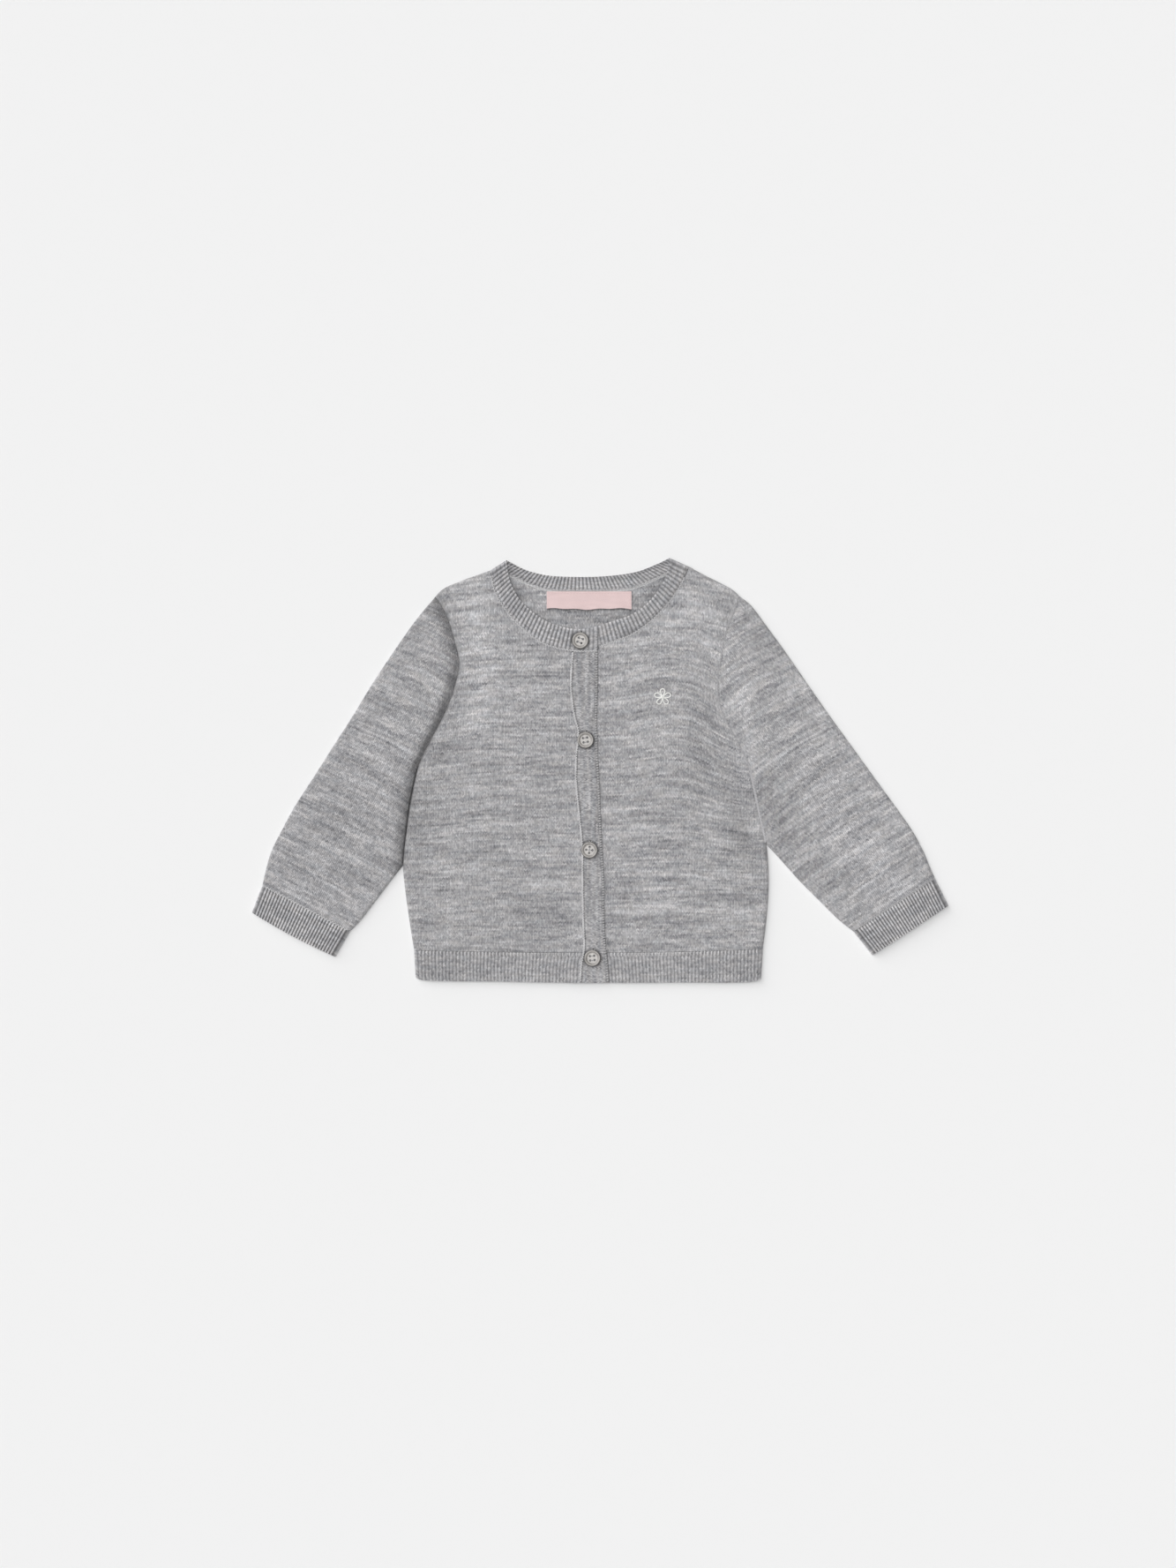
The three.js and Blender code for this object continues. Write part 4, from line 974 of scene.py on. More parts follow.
def back(columns=150, rows=150):
    """The back as a closed wall on the table: flat inside, with soft hollows and turned-up folds outside."""
    right, left = (Curve(SHOULDER[side]) for side in ("right", "left"))
    top = joined(joined(right, Curve(NECK_SEAM["back"]), 0.3), left.part(1, 0), 0.8)
    place = patch(Curve(HEM_SEAM), top, body_edge("right"), body_edge("left"))
    gap = mm("seam_gap") / 2
    inset = np.array([0, 0.06, 0.2, 0.45, 0.72, 1.0]) * BACK_TURN
    rise = BACK_RIM * (1 - np.sin(np.arccos(np.clip(1 - inset / BACK_TURN, 0, 1))))
    t = np.linspace(0, 0.995, rows)
    wide = pace(place, 0.0, t, 0)
    middle = np.linspace(0, 1, columns)[1:-1, None]
    s = np.vstack([
        (gap + inset)[:, None] / wide,
        mix((gap + BACK_TURN) / wide, 1 - (gap + BACK_TURN) / wide, middle),
        1 - (gap + inset[::-1])[:, None] / wide])
    height = np.concatenate([rise, np.zeros(columns - 2), rise[::-1]])[:, None]
    tall = pace(place, s[:, 0] * 0.98 + 0.01, 0.0, 1)[:, None]
    flat = place(s, gap / tall + t * (1 - 2 * gap / tall))
    over = ripple(flat[..., 0], flat[..., 1], UNDER_FOLDS) * (height == 0)
    station = np.arange(len(s))
    fade = smooth(np.minimum(station, station[::-1])[:, None] / 12 - 0.4)
    return closed_wall(raised(flat, mm("wall")), raised(flat, height + over * fade))


def hem_front(side, rows=9):
    """A front's hem as a ribbed wall from its band out to the side, where it turns over."""
    seam, edge, centre = Curve(HEM_SEAM), Curve(HEM_EDGE), band_line(BAND_LINE[side])
    start, outer = centre.nearest(HEM_CORNER[side]), float(SIDE_END[side])
    corner, end = centre(start), centre(0.0)
    place = patch(
        edge.part(edge.nearest(end), outer), seam.part(seam.nearest(corner), outer),
        centre.part(0, start), straight(edge(outer), seam(outer)))
    count = round(np.linalg.norm(end - edge(outer)) / mm("hem_rib")) - 1
    phase = np.arange(8 * count + 9) / 8
    s, turn = (row[:, None] for row in stations(8 * count + 1, 8))
    t = np.linspace(0, 1, rows)
    wide, gap = pace(place, 1.0, t, 0), mm("seam_gap") / 2
    relief = mm("hem_relief") * rib(phase)[:, None] * np.sin(turn) * smooth(t * 6 + 0.35)
    walls = []
    for inside in (False, True):
        over = 1 - zone(turn, 0, 0, 0, inside) / wide
        share_s = np.where(turn < FLAT, over, mix(gap / wide, 1 - FOLD_REACH / wide, s))
        flat = place(share_s, (1 - gap / STRIP_HEIGHT) * t[None, :])
        full = top_of(side, flat[..., 0], flat[..., 1]) - (mm("wall") if inside else 0)
        walls.append(raised(flat, mix(FRONT_RIM, full, np.sin(turn)) + (0 if inside else relief)))
    return closed_wall(*walls), strip_stitches(phase, t, STRIP_HEIGHT)


def hem_back(rows=9):
    """The back's hem: a flat inside up, and on the hidden side ribs that are pressed level on the table."""
    seam, edge = Curve(HEM_SEAM), Curve(HEM_EDGE)
    place = patch(edge, seam, straight(edge(0.0), seam(0.0)), straight(edge(1.0), seam(1.0)))
    count = round(edge.length / mm("hem_rib"))
    phase = np.linspace(0, count, 8 * count + 1)
    t = np.linspace(0, 1, rows)
    along = mix(0.004, 0.996, phase / count)
    flat = place(along[:, None], (1 - mm("seam_gap") / 2 / STRIP_HEIGHT) * t[None, :])
    valley = PRESSED_RIB * (1 - rib(phase))
    valley[[0, -1]] = BACK_RIM * 0.6
    walls = raised(flat, mm("wall")), raised(flat, valley[:, None])
    return closed_wall(*walls), strip_stitches(phase, t, STRIP_HEIGHT)


def ring(upper, lower, fold=9):
    """Stations round a flattened tube: outer fold, upper layer, inner fold and lower layer.

    It gives each one's layer share from 0 to 1, its edge, 0 or 1 at the folds, and its turn.
    """
    turn = np.linspace(-FLAT, FLAT, fold)
    flats, unders = np.linspace(0, 1, upper + 2)[1:-1], np.linspace(1, 0, lower + 2)[1:-1]
    share = np.concatenate([np.zeros(fold), flats, np.ones(fold), unders])
    folds = np.concatenate([np.ones(fold), np.zeros(upper), np.ones(fold), np.zeros(lower)]).astype(bool)
    turns = np.concatenate([turn, np.full(upper, FLAT), turn[::-1], np.full(lower, -FLAT)])
    return share, folds, turns


def ring_share(share, folds, turns, wide, inside):
    """Shares across a tube: the folds' stations by their distance from the edge, the layers' between them."""
    away = zone(np.abs(turns), 0, 0, 0, inside)[:, None] / wide
    edge = np.where(share[:, None] > 0.5, 1 - away, away)
    return np.where(folds[:, None], edge, mix(FOLD_REACH / wide, 1 - FOLD_REACH / wide, share[:, None]))


def tube_height(turns, upper, inside):
    """Height round a tube: half an ellipse from the table to the upper layer's height, inside a wall less."""
    rise = np.sin(turns)[:, None]
    floor = FOLD_MIDDLE - mm("wall") if inside else FOLD_MIDDLE
    return np.where(rise > 0, mix(FOLD_MIDDLE, upper, rise), FOLD_MIDDLE + floor * rise)


def sleeve_top(share, flat):
    """The upper face of a sleeve or a cuff: a low crown across it and half of the soft folds."""
    return SLEEVE_TOP + SLEEVE_CROWN * np.sin(np.pi * share) + ripple(flat[..., 0], flat[..., 1]) / 2


def sleeve(side, rows=130):
    """A sleeve as a flattened tube, a patch from the body's edge to the cuff's seam on both layers."""
    edge = body_edge(side)
    notch = edge.nearest(NOTCH[side])
    underarm = (1 - edge.nearest(UNDERARM[side])) / (1 - notch)
    outer, inner = CUFF[side][:2]
    sides = Curve(SLEEVE_OUTER[side]), Curve(SLEEVE_INNER[side])
    place = patch(edge.part(1, notch), straight(outer, inner), *sides)
    share, folds, turns = ring(84, 48)
    t, turn_t = stations(rows, 10)
    t, turn_t = 1 - t[::-1], turn_t[::-1]
    wide = np.maximum(pace(place, 0.5, np.clip(t, 0.03, 1), 0), 12)
    is_upper = (turns > 0)[:, None]
    seam = smooth((underarm - share) / UNDERARM_BLEND + 0.5)[:, None]
    sewn_here = np.where(is_upper, seam, 1)
    reach, gap = ARMHOLE_DIP_SLEEVE[side], mm("seam_gap")
    walls = []
    for inside in (False, True):
        lining = mm("wall") if inside else 0
        s = ring_share(share, folds, turns, wide, inside)
        high = np.maximum(pace(place, np.clip(s, 0.01, 0.99), 0.0, 1), 20)
        near, first = (
            np.where(is_upper, zone(turn, sewn_here, reach, gap, inside),
                     zone(turn, 1, reach, gap, False)) / high
            for turn in (turn_t, FLAT))
        flat = place(s, np.where(turn_t < FLAT, near, mix(first, 1 - gap / 2 / high, t)))
        full = sleeve_top(s, flat) - lining
        sewn = mix(ARMHOLE_TOP[side] - lining, full, smooth(turn_t / FLAT))
        upper = mix(mix(FRONT_RIM, full, np.sin(turn_t)), sewn, seam)
        walls.append(raised(flat, tube_height(turns, upper, inside)))
    return closed_wall(*walls, loops=True)


def cuff(side, rows=10):
    """A cuff as a flattened tube with ribs on both layers, pressed level where it lies on the table."""
    seam_outer, seam_inner, end_outer, end_inner, bow = CUFF[side]
    down = np.subtract(end_outer, seam_outer)
    down = down / np.linalg.norm(down) * bow
    place = patch(straight(seam_outer, seam_inner), straight(end_outer, end_inner, down),
                  straight(seam_outer, end_outer), straight(seam_inner, end_inner))
    width = np.linalg.norm(np.subtract(seam_inner, seam_outer))
    count = round(width / mm("cuff_rib")) - 2
    share, folds, turns = ring(8 * count - 1, 8 * count - 1)
    t = np.linspace(0, 1, rows)
    wide = pace(place, 0.5, t, 0)
    crest = rib(share * count)[:, None]
    upper, lower = mm("rib_relief") * crest * smooth(t * 5 + 0.3), PRESSED_RIB * (1 - crest)
    relief = np.where((turns > 0)[:, None], upper, lower) * ~folds[:, None]
    walls = []
    for inside in (False, True):
        s = ring_share(share, folds, turns, wide, inside)
        flat = place(s, mix(mm("seam_gap") / 2 / STRIP_HEIGHT, 1, t))
        full = sleeve_top(s, flat) - (mm("wall") if inside else 0)
        walls.append(raised(flat, tube_height(turns, full, inside) + (0 if inside else relief)))
    return closed_wall(*walls, loops=True), strip_stitches(np.arange(len(share)) / 8, t, STRIP_HEIGHT)


def neck_line(name):
    """A stretch of the neckband: its seam, its free edge and the length of its middle line."""
    seam, free = Curve(NECK_SEAM[name]), Curve(NECK_EDGE[name])
    return seam, free, (seam.length + free.length) / 2


def neck_stations(lines):
    """The neckband's stations in turn from the outer front's end: stretch, share, turn and phase of the ribs.

    Eight stations make a rib, and each fold at a shoulder counts as one.
    """
    names, shares, turns, phases = [], [], [], []

    def add(name, share, turn, phase):
        names.extend([name] * len(share))
        shares.append(share)
        turns.append(np.broadcast_to(turn, share.shape))
        phases.append(phase + (phases[-1][-1] if phases else 0))

    def ribs(name, start, end, skip=0):
        pitch = mm("back_rib" if name == "back" else "neck_rib")
        count = round(abs(end - start) * lines[name][2] / pitch)
        share, phase = np.linspace(start, end, 8 * count + 1), np.linspace(0, count, 8 * count + 1)
        add(name, share[skip:], -FLAT if name == "back" else FLAT, phase[skip:])

    def fold(name, end, degrees):
        angle = np.radians(degrees)
        away = FOLD_REACH * (1 - np.cos(angle)) / lines[name][2]
        add(name, 1 - away if end else away, angle, np.linspace(1 / 8, 1, len(angle)))

    rest = {name: (FOLD_REACH + NECK_FOLD_REST) / line[2] for name, line in lines.items()}
    plain = NECK_PLAIN_END / lines["right"][2]
    down, up = np.linspace(90, 0, 9), np.linspace(0, 90, 9)[1:]
    ribs("right", 0, plain)
    ribs("right", plain, 1 - rest["right"], 1)
    fold("right", True, down)
    fold("back", False, -up)
    ribs("back", rest["back"], 1 - rest["back"])
    fold("back", True, -down)
    fold("left", True, up)
    ribs("left", 1 - rest["left"], plain)
    ribs("left", plain, 0, 1)
    return np.array(names), *(np.concatenate(parts) for parts in (shares, turns, phases))


def neckband(rows=18):
    """The neckband: one ribbed strip from the outer front's end round the back to the inner front's end.

    It is a strip between two edges, turned over at each shoulder by half an ellipse.
    """
    lines = {name: neck_line(name) for name in ("right", "back", "left")}
    names, shares, turns, phases = neck_stations(lines)
    plain = NECK_PLAIN_END / lines["right"][2]
    side = np.linspace(0, 1, rows)
    roll = -0.5 * (1 - smooth(side * 5 + 0.25)) - 0.35 * (1 - smooth((1 - side) * 6 + 0.2))
    walls = []
    for inside in (False, True):
        wall = np.zeros((len(shares), rows, 3))
        for name, (seam, free, span) in lines.items():
            mine = names == name
            share, turn = shares[mine], turns[mine]
            lining = mm("wall") * np.cos(turn) / span if inside else 0
            at = np.clip(np.where(share > 0.5, share - lining, share + lining), 0, 1)
            start, end = seam(at), free(at)
            start = start + (end - start) / np.linalg.norm(end - start, axis=-1)[:, None] * mm("seam_gap")
            flat = mix(start[:, None], end[:, None], side[:, None])
            x, y = flat[..., 0], flat[..., 1]
            lift = NECKBAND_LIFT * smooth((share - 0.15) / 0.3)[:, None] * side
            full = 0 if name == "back" else top_of(name, x, y) + lift
            first_rib = plain * 0.9 if name == "right" else plain
            faded = 1 if name == "back" else smooth((share - first_rib) * 25)
            crest = mm("rib_relief") * (rib(phases[mine]) * faded)[:, None] * smooth(side * 6 + 0.3)
            rise = np.sin(turn)[:, None]
            if inside:
                upper = mix(FOLD_MIDDLE, full - mm("wall"), rise)
                lower = FOLD_MIDDLE + (FOLD_MIDDLE - mm("wall")) * rise + crest * np.abs(rise)
            else:
                upper = mix(FOLD_MIDDLE, full + crest + roll - button_dent(x, y), rise)
                lower = FOLD_MIDDLE * (1 + rise)
            wall[mine] = raised(flat, np.where(rise > 0, upper, lower))
        walls.append(wall)
    return closed_wall(*walls), strip_stitches(phases, side, NECKBAND_WIDTH)


def front_band(seam_inset, free_inset, top, columns=33, rows=420, crown=0.6):
    """A front band: a patch between its two edges, with rounded sides and a groove beside the seam."""
    left, right = band_line(1, seam_inset), band_line(2, -free_inset)
    place = patch(straight(left(0.0), right(0.0)), straight(left(1.0), right(1.0)), left, right)
    s, t = np.linspace(0, 1, columns), np.linspace(0, 1 - mm("seam_gap") / 2 / left.length, rows)
    flat = place(s[:, None], t[None, :])
    edge = np.minimum(s, 1 - s)[:, None] * 16
    z = top - crown * (1 - smooth(edge / 2.4 + 0.1)) * np.ones(rows)
    z = z + 0.1 * np.sin(flat[..., 1] / 5.1 + 2 * s[:, None]) * smooth(edge / 3)
    if top == OVER_BAND_TOP:
        z = z - button_dent(flat[..., 0], flat[..., 1])
    points, faces = closed_wall(raised(flat, z), raised(flat, top - mm("wall")))
    stitches = np.stack([points[:, 1] / mm("wale"), points[:, 0] / mm("course")], axis=1)
    return (points, faces), stitches


def button_dent(x, y):
    """The hollow ring that each button presses into the band, a bell of the distance from its rim."""
    rim = mm("button_radius") + 0.25
    return sum(0.55 * bell(np.hypot(x - bx, y - by) - rim, 0.8) for bx, by, _ in BUTTONS)


def button_painted_shade(points):
    """The painted shade round a button, 1 less half the bell beside its rim, and painted shade inside a slit.
    """
    x, y = points[:, 0], points[:, 1]
    away = distance(x, y, [button[:2] for button in BUTTONS]) - mm("button_radius")
    tone = 1 - 0.5 * bell(away, 1.0)
    across = np.min([np.abs(x - bx - BUTTONHOLE["right"]) for bx, _, _ in BUTTONS], axis=0)
    along = np.min([np.abs(y - by - BUTTONHOLE["up"]) for _, by, _ in BUTTONS], axis=0)
    in_slit = (across < BUTTONHOLE["width"]) & (along < BUTTONHOLE["length"] / 2 + 0.05)
    return np.where(in_slit & (points[:, 2] < OVER_BAND_TOP - 0.7), 0.5 * tone, tone)


def band_painted_shade(points):
    """The outer band's tone: the buttons' painted shade, and thin lines of painted shade beside its seam and
    its edge loops.
    """
    x, y = points[:, 0], points[:, 1]
    away = np.minimum(np.abs(x - band_at(1, y)) - 0.6, np.abs(x - band_at(2, y)) - 1.3)
    return button_painted_shade(points) * (1 - 0.25 * bell(np.maximum(away, 0), 0.8))


def zigzag(line, pitch, width, steps=8, bob=0.12):
    """A line of stitches: the line's points moved to its two sides in turn, and a little up and down."""
    run = run_of(line)
    count = max(int(run[-1] / pitch * steps), 2)
    at = np.linspace(0, run[-1], count)
    path = read(line, run, at)
    ahead = np.gradient(path, axis=0)
    side = np.stack([-ahead[:, 1], ahead[:, 0], np.zeros(count)], axis=-1)
    side /= np.linalg.norm(side, axis=1)[:, None]
    wave = 2 * np.abs(2 * ((at / pitch) % 1) - 1) - 1
    path = path + side * (wave * width / 2)[:, None]
    path[:, 2] += bob * np.cos(2 * np.pi * at / pitch)
    return path


def evenly(line, pitch):
    """Points every pitch along a line."""
    run = run_of(line)
    return read(line, run, np.arange(pitch / 2, run[-1], pitch))


def edge_loop(x, y):
    """One loop of a free edge: a short arch across it that goes down over the rim."""
    lean = np.linspace(0, 1, 7)
    height = OVER_BAND_TOP - 0.1 - 0.7 * lean**3
    path = np.stack([x - 1.35 + 1.3 * lean, y + 0.35 * (lean - 0.5), height], axis=-1)
    return rod(path, mm("yarn") * (1.35 - 0.4 * lean))


def on_top(side, line, lift):
    """A line's points on the upper face of a front, lifted."""
    return raised(line, top_of(side, line[:, 0], line[:, 1]) + lift)


def slit_place(button):
    """The middle of a button's slit."""
    return button[0] + BUTTONHOLE["right"], button[1] + BUTTONHOLE["up"]


def slit_body(button):
    """The body that is cut out for a slit: a block through the band."""
    half, wide = BUTTONHOLE["length"] / 2, BUTTONHOLE["width"] / 2
    corner = np.array([(-wide, -half), (wide, -half), (wide, half), (-wide, half)]) + slit_place(button)
    points = np.concatenate([raised(corner, z) for z in (OVER_BAND_TOP - 1.35, OVER_BAND_TOP + 2)])
    faces = np.array([[0, 3, 2, 1], [4, 5, 6, 7], [0, 1, 5, 4], [1, 2, 6, 5], [2, 3, 7, 6], [3, 0, 4, 7]])
    return points, faces


def overcast(button):
    """The yarn round a slit: a long oval of stitches that go in and out."""
    x, y = slit_place(button)
    turn = np.linspace(0, 2 * np.pi, 321)[:-1]
    wave = np.sin(turn * 32)
    out = 0.95 + 0.3 * np.sign(wave) * np.abs(wave) ** 0.6
    half = BUTTONHOLE["length"] / 2 - 0.3
    along = np.clip(np.sin(turn) * half * 1.6, -half, half) + 0.5 * out * np.sin(turn)
    path = raised(np.stack([x + out * np.cos(turn), y + along], axis=-1), OVER_BAND_TOP + 0.05)
    return rod(path, mm("yarn") * 0.8, loops=True)


# operators

class CardiganOperator:
    """What the operators share: each builds its pieces in build."""

    bl_options = {"REGISTER", "UNDO"}

    def execute(self, context):
        self.build(context)
        return {"FINISHED"}


class CARDIGAN_OT_back(CardiganOperator, bpy.types.Operator):
    """The back panel of plain knit, which lies on the table"""
    bl_idname = "cardigan.back"
    bl_label = "Back"

    def build(self, context):
        points, faces = back()
        panel = mesh_object("back_panel", (points, faces), body_stitches(points), inner_painted_shade(points))
        dress(panel, knit("heather_back"), "knit", "back")


class CARDIGAN_OT_fronts(CardiganOperator, bpy.types.Operator):
    """The two fronts of plain knit, which lie on the back"""
    bl_idname = "cardigan.fronts"
    bl_label = "Fronts"

    def build(self, context):
        for side, flat, area in (("right", (0.1255, 0.264), 0.0248), ("left", (0.118, 0.262), 0.0240)):
            points, faces = front(side)
            panel = mesh_object(f"front_panel_{side}", (points, faces), body_stitches(points),
                                cloth_painted_shading(points, side, "body"))
            dress(panel, knit("heather_stockinette"), "knit", f"front_{side}")
            pieces = [self.flower()] if side == "left" else []

    def flower(self):
        """Five looped petals, each a teardrop, round a knot."""
        angle = np.linspace(0, 2 * np.pi, 24, endpoint=False)
        reach = 3.1 - 2.6 * np.cos(angle)
        wide = 1.45 * np.sin(angle) * (1 - 0.35 * np.cos(angle)) * (1 - np.exp(-reach))
        parts = []
        for petal in range(5):
            lean = math.radians(90 + 72 * petal)
            x = FLOWER[0] + reach * math.cos(lean) - wide * math.sin(lean)
            y = FLOWER[1] + reach * math.sin(lean) + wide * math.cos(lean)
            parts.append(rod(on_top("left", np.stack([x, y], axis=1), 0.3), 0.42, loops=True))
        turn = np.linspace(0, 4 * np.pi, 32)
        knot = np.stack([FLOWER[0] + 0.55 * np.cos(turn), FLOWER[1] + 0.55 * np.sin(turn)], axis=1)
        path = on_top("left", knot, 0.3)
        path[:, 2] += np.linspace(0, 0.45, 32)
        parts.append(rod(path, 0.36))
        flower = mesh_object("embroidered_flower", together(parts))
        return dress(flower, yarn_material("embroidery_thread", shade("thread")), "label")


class CARDIGAN_OT_sleeves(CardiganOperator, bpy.types.Operator):
    """The two sleeves, each a flattened tube of plain knit"""
    bl_idname = "cardigan.sleeves"
    bl_label = "Sleeves"

    def build(self, context):
        for side, flat, area in (("right", (0.172, 0.235), 0.0275), ("left", (0.176, 0.24), 0.0307)):
            points, faces = sleeve(side)
            tube = mesh_object(f"sleeve_tube_{side}", (points, faces), sleeve_stitches(points, side),
                               cloth_painted_shading(points, side, "sleeve"))
            dress(tube, knit("heather_stockinette"), "knit", f"sleeve_{side}")
            pieces = self.seam() if side == "left" else []

    def seam(self):
        """The wearer's left armhole: linking that fills the seam, and paired stitches where it narrows."""
        line = body_edge("left")
        share = np.linspace(0, 1, 300)
        path = line.part(0.99, line.nearest(NOTCH["left"]) + 0.005)(share)
        lower = smooth(share * 5 - 3)
        height = mix(ARMHOLE_TOP["left"] - 0.3, FRONT_TOP - 1.15, lower)
        linking = zigzag(raised(path, height), 2.1, 0.8)
        lower = np.interp(np.linspace(0, 1, len(linking)), share, lower)
        wool = yarn_material("linking_wool", shade("wool"))
        body, shown = rod(linking, mix(0.62, 1.05, lower)), np.tile(mix(0.94, 1.16, lower), 6)
        fill = dress(mesh_object("armhole_linking_left", body, tone=shown), wool, "knit")
        count = 46
        shares = np.linspace(0.93, 0.45, count)
        along = line(shares)
        ahead = line(shares - 0.004) - along
        ahead /= np.linalg.norm(ahead, axis=1)[:, None]
        inward = np.stack([ahead[:, 1], -ahead[:, 0]], axis=1)
        jump = np.sin(np.arange(count) * 2.4)
        parts = []
        for k in range(count):
            on_body = k % 2 == 1
            away = (2.0 if on_body else -1.5) + 0.9 * jump[k]
            reach = ahead[k] * 1.3 + inward[k] * (0.8 if on_body else -0.8)
            run = np.linspace(-0.5, 0.5, 7)[:, None] * (1.2 + 0.4 * jump[k])
            flat = along[k] + inward[k] * away + run * reach
            full = top_of("left", flat[:, 0], flat[:, 1]) if on_body else SLEEVE_TOP + 0.5
            dip = ARMHOLE_DIP_BODY["left"] if on_body else ARMHOLE_DIP_SLEEVE["left"]
            height = mix(ARMHOLE_TOP["left"], full, smooth(abs(away) / dip))
            arch = 0.25 * np.sin(np.linspace(0, np.pi, 7))
            parts.append(rod(raised(flat, height + arch), mm("yarn") * 0.9))
        link = mesh_object("armhole_seam_left", together(parts), tone=0.82)
        return [fill, dress(link, seam_yarn(), "knit")]


class CARDIGAN_OT_cuffs(CardiganOperator, bpy.types.Operator):
    """The two ribbed cuffs and the yarn that links them to the sleeves"""
    bl_idname = "cardigan.cuffs"
    bl_label = "Cuffs"

    def build(self, context):
        for side in ("right", "left"):
            body, stitches = cuff(side)
            tube = mesh_object(f"cuff_tube_{side}", body, stitches, rim_painted_light(body[0]))
            dress(tube, knit("heather_cuff"), "rib", f"cuff_{side}")
            share = np.linspace(0.03, 0.97, 60)
            flat = straight(*CUFF[side][:2])(share)
            line = raised(flat, sleeve_top(share, flat) + 0.12)
            linking = rod(zigzag(line, mm("cuff_rib"), 1.1), mm("yarn"))
            link = mesh_object(f"cuff_seam_{side}", linking, tone=0.9 if side == "right" else 0.62)
            dress(link, seam_yarn(), "rib")


class CARDIGAN_OT_hem(CardiganOperator, bpy.types.Operator):
    """The ribbed hem of the back and of both fronts, with its lighter first row"""
    bl_idname = "cardigan.hem"
    bl_label = "Hem"

    def build(self, context):
        body, stitches = hem_back()
        strip = mesh_object("hem_rib_back", body, stitches)
        dress(strip, knit("heather_hem"), "rib", "hem_back")
        seam = Curve(HEM_SEAM)
        for side, flat in (("right", (0.1165, 0.0205)), ("left", (0.1065, 0.0205))):
            body, stitches = hem_front(side)
            strip = mesh_object(f"hem_rib_{side}", body, stitches, rim_painted_light(body[0]))
            dress(strip, knit("heather_hem"), "rib", f"hem_front_{side}")
            if side == "right":
                ends = 0.012, seam.nearest((-12.8, -126))
            else:
                ends = seam.nearest((5.6, -126)), 0.988
            lean = np.linspace(-0.5, 0.5, 6)
            loops = []
            for down, tall, thick in ((1.3, 2.3, 1.25), (17.6, 1.7, 0.85)):
                for x, y in evenly(seam(np.linspace(*ends, 120)) - (0, down), mm("hem_rib")):
                    stroke = np.stack([x + 0.5 * np.abs(lean), y + tall * lean], axis=-1)
                    loop = on_top(side, stroke, 0.35 * thick)
                    loop[:, 2] -= 1.6 * thick * lean**2
                    loops.append(rod(loop, mm("yarn") * thick))
            rows = together(loops)
            x, y, _ = rows[0].T
            tone = 0.88 + 0.16 * np.sin(x / 7.3) * np.sin(x / 17.9 + 1) - 0.08 * (y < -135)
            link = mesh_object(f"hem_seam_{side}", rows, tone=tone)
            dress(link, seam_yarn(), "rib")


class CARDIGAN_OT_neckband(CardiganOperator, bpy.types.Operator):
    """The ribbed neckband, its seams and the first buttonhole"""
    bl_idname = "cardigan.neckband"
    bl_label = "Neckband"

    def build(self, context):
        body, stitches = neckband()
        strip = cut_out(mesh_object("neckband_rib", body, stitches), [slit_body(BUTTONS[0])], neck_painted_shade)
        dress(strip, knit("heather_rib"), "rib", "neckband")
        rows = []
        for side, start, end in (("right", 0.02, 0.96), ("left", 0.17, 0.92)):
            flat = Curve(NECK_SEAM[side])(np.linspace(start, end, 160))
            rows.append(rod(zigzag(on_top(side, flat, 0.1), 2.0, 0.9), mm("yarn")))
        inner = Curve(NECK_SEAM["back"])(np.linspace(0.1, 0.92, 160))
        rows.append(rod(zigzag(raised(inner, mm("wall") + 0.2), 2.3, 1.0), mm("yarn")))
        link = mesh_object("neckband_seam", together(rows), tone=0.89)
        dress(link, seam_yarn(), "rib")
        holes = mesh_object("neckband_buttonhole", overcast(BUTTONS[0]), tone=0.8)
        dress(holes, seam_yarn(), "rib")
        span = sum(neck_line(name)[2] for name in ("right", "back", "left"))
        span * MM


class CARDIGAN_OT_bands(CardiganOperator, bpy.types.Operator):
    """The under band and the buttonhole band, with its seam ridge, edge loops and buttonholes"""
    bl_idname = "cardigan.bands"
    bl_label = "Front bands"

    def build(self, context):
        body, stitches = front_band(UNDER_BAND_INSET, UNDER_BAND_SEAM, UNDER_BAND_TOP, 9, 160, 0.2)
        under = mesh_object("under_band_knit", body, stitches)
        dress(under, knit("heather_band"), "band", "button_band")
        body, stitches = front_band(mm("seam_gap") / 2, 0, OVER_BAND_TOP)
        over = cut_out(mesh_object("outer_band_knit", body, stitches),
                       [slit_body(button) for button in BUTTONS[1:]], band_painted_shade)
        dress(over, knit("heather_band"), "band", "buttonhole_band")
        rows = np.linspace(0.004, 0.996, 400)
        yarn, pitch = mm("yarn"), mm("edge_pitch")
        line = raised(band_line(1)(rows) - (0.3, 0), OVER_BAND_TOP + 0.05)
        first = rod(zigzag(line, pitch, 1.4, bob=0.2), yarn * 0.9)
        second = rod(zigzag(line - (0.1, 0, 0.1), pitch * 0.9, 1.0, bob=-0.2), yarn)
        free = np.vstack([band_line(2)(rows), straight((-1.9, 82.6), (-1.9, 98.8))(np.linspace(0, 1, 30))])
        top_row = straight((-19.4, 82.3), (-2.4, 82.5))(np.linspace(0.02, 0.98, 60))
        turning = rod(zigzag(raised(top_row, OVER_BAND_TOP - 0.25), 1.6, 1.4), yarn * 0.9)
        for name, made, shown in (
                ("band_seam_ridge", together([first, second]), 0.96),
                ("band_edge_loops", together([edge_loop(x, y) for x, y in evenly(free, pitch)]), 0.84),
                ("band_turning_row", turning, 0.78),
                ("band_buttonholes", together([overcast(button) for button in BUTTONS[1:]]), 0.8)):
            tone = shown * (1 + 0.07 * np.sin(made[0][:, 1] / 2.3) * np.sin(made[0][:, 1] / 7.7 + 1))
            dress(mesh_object(name, made, tone=tone), seam_yarn(), "band")


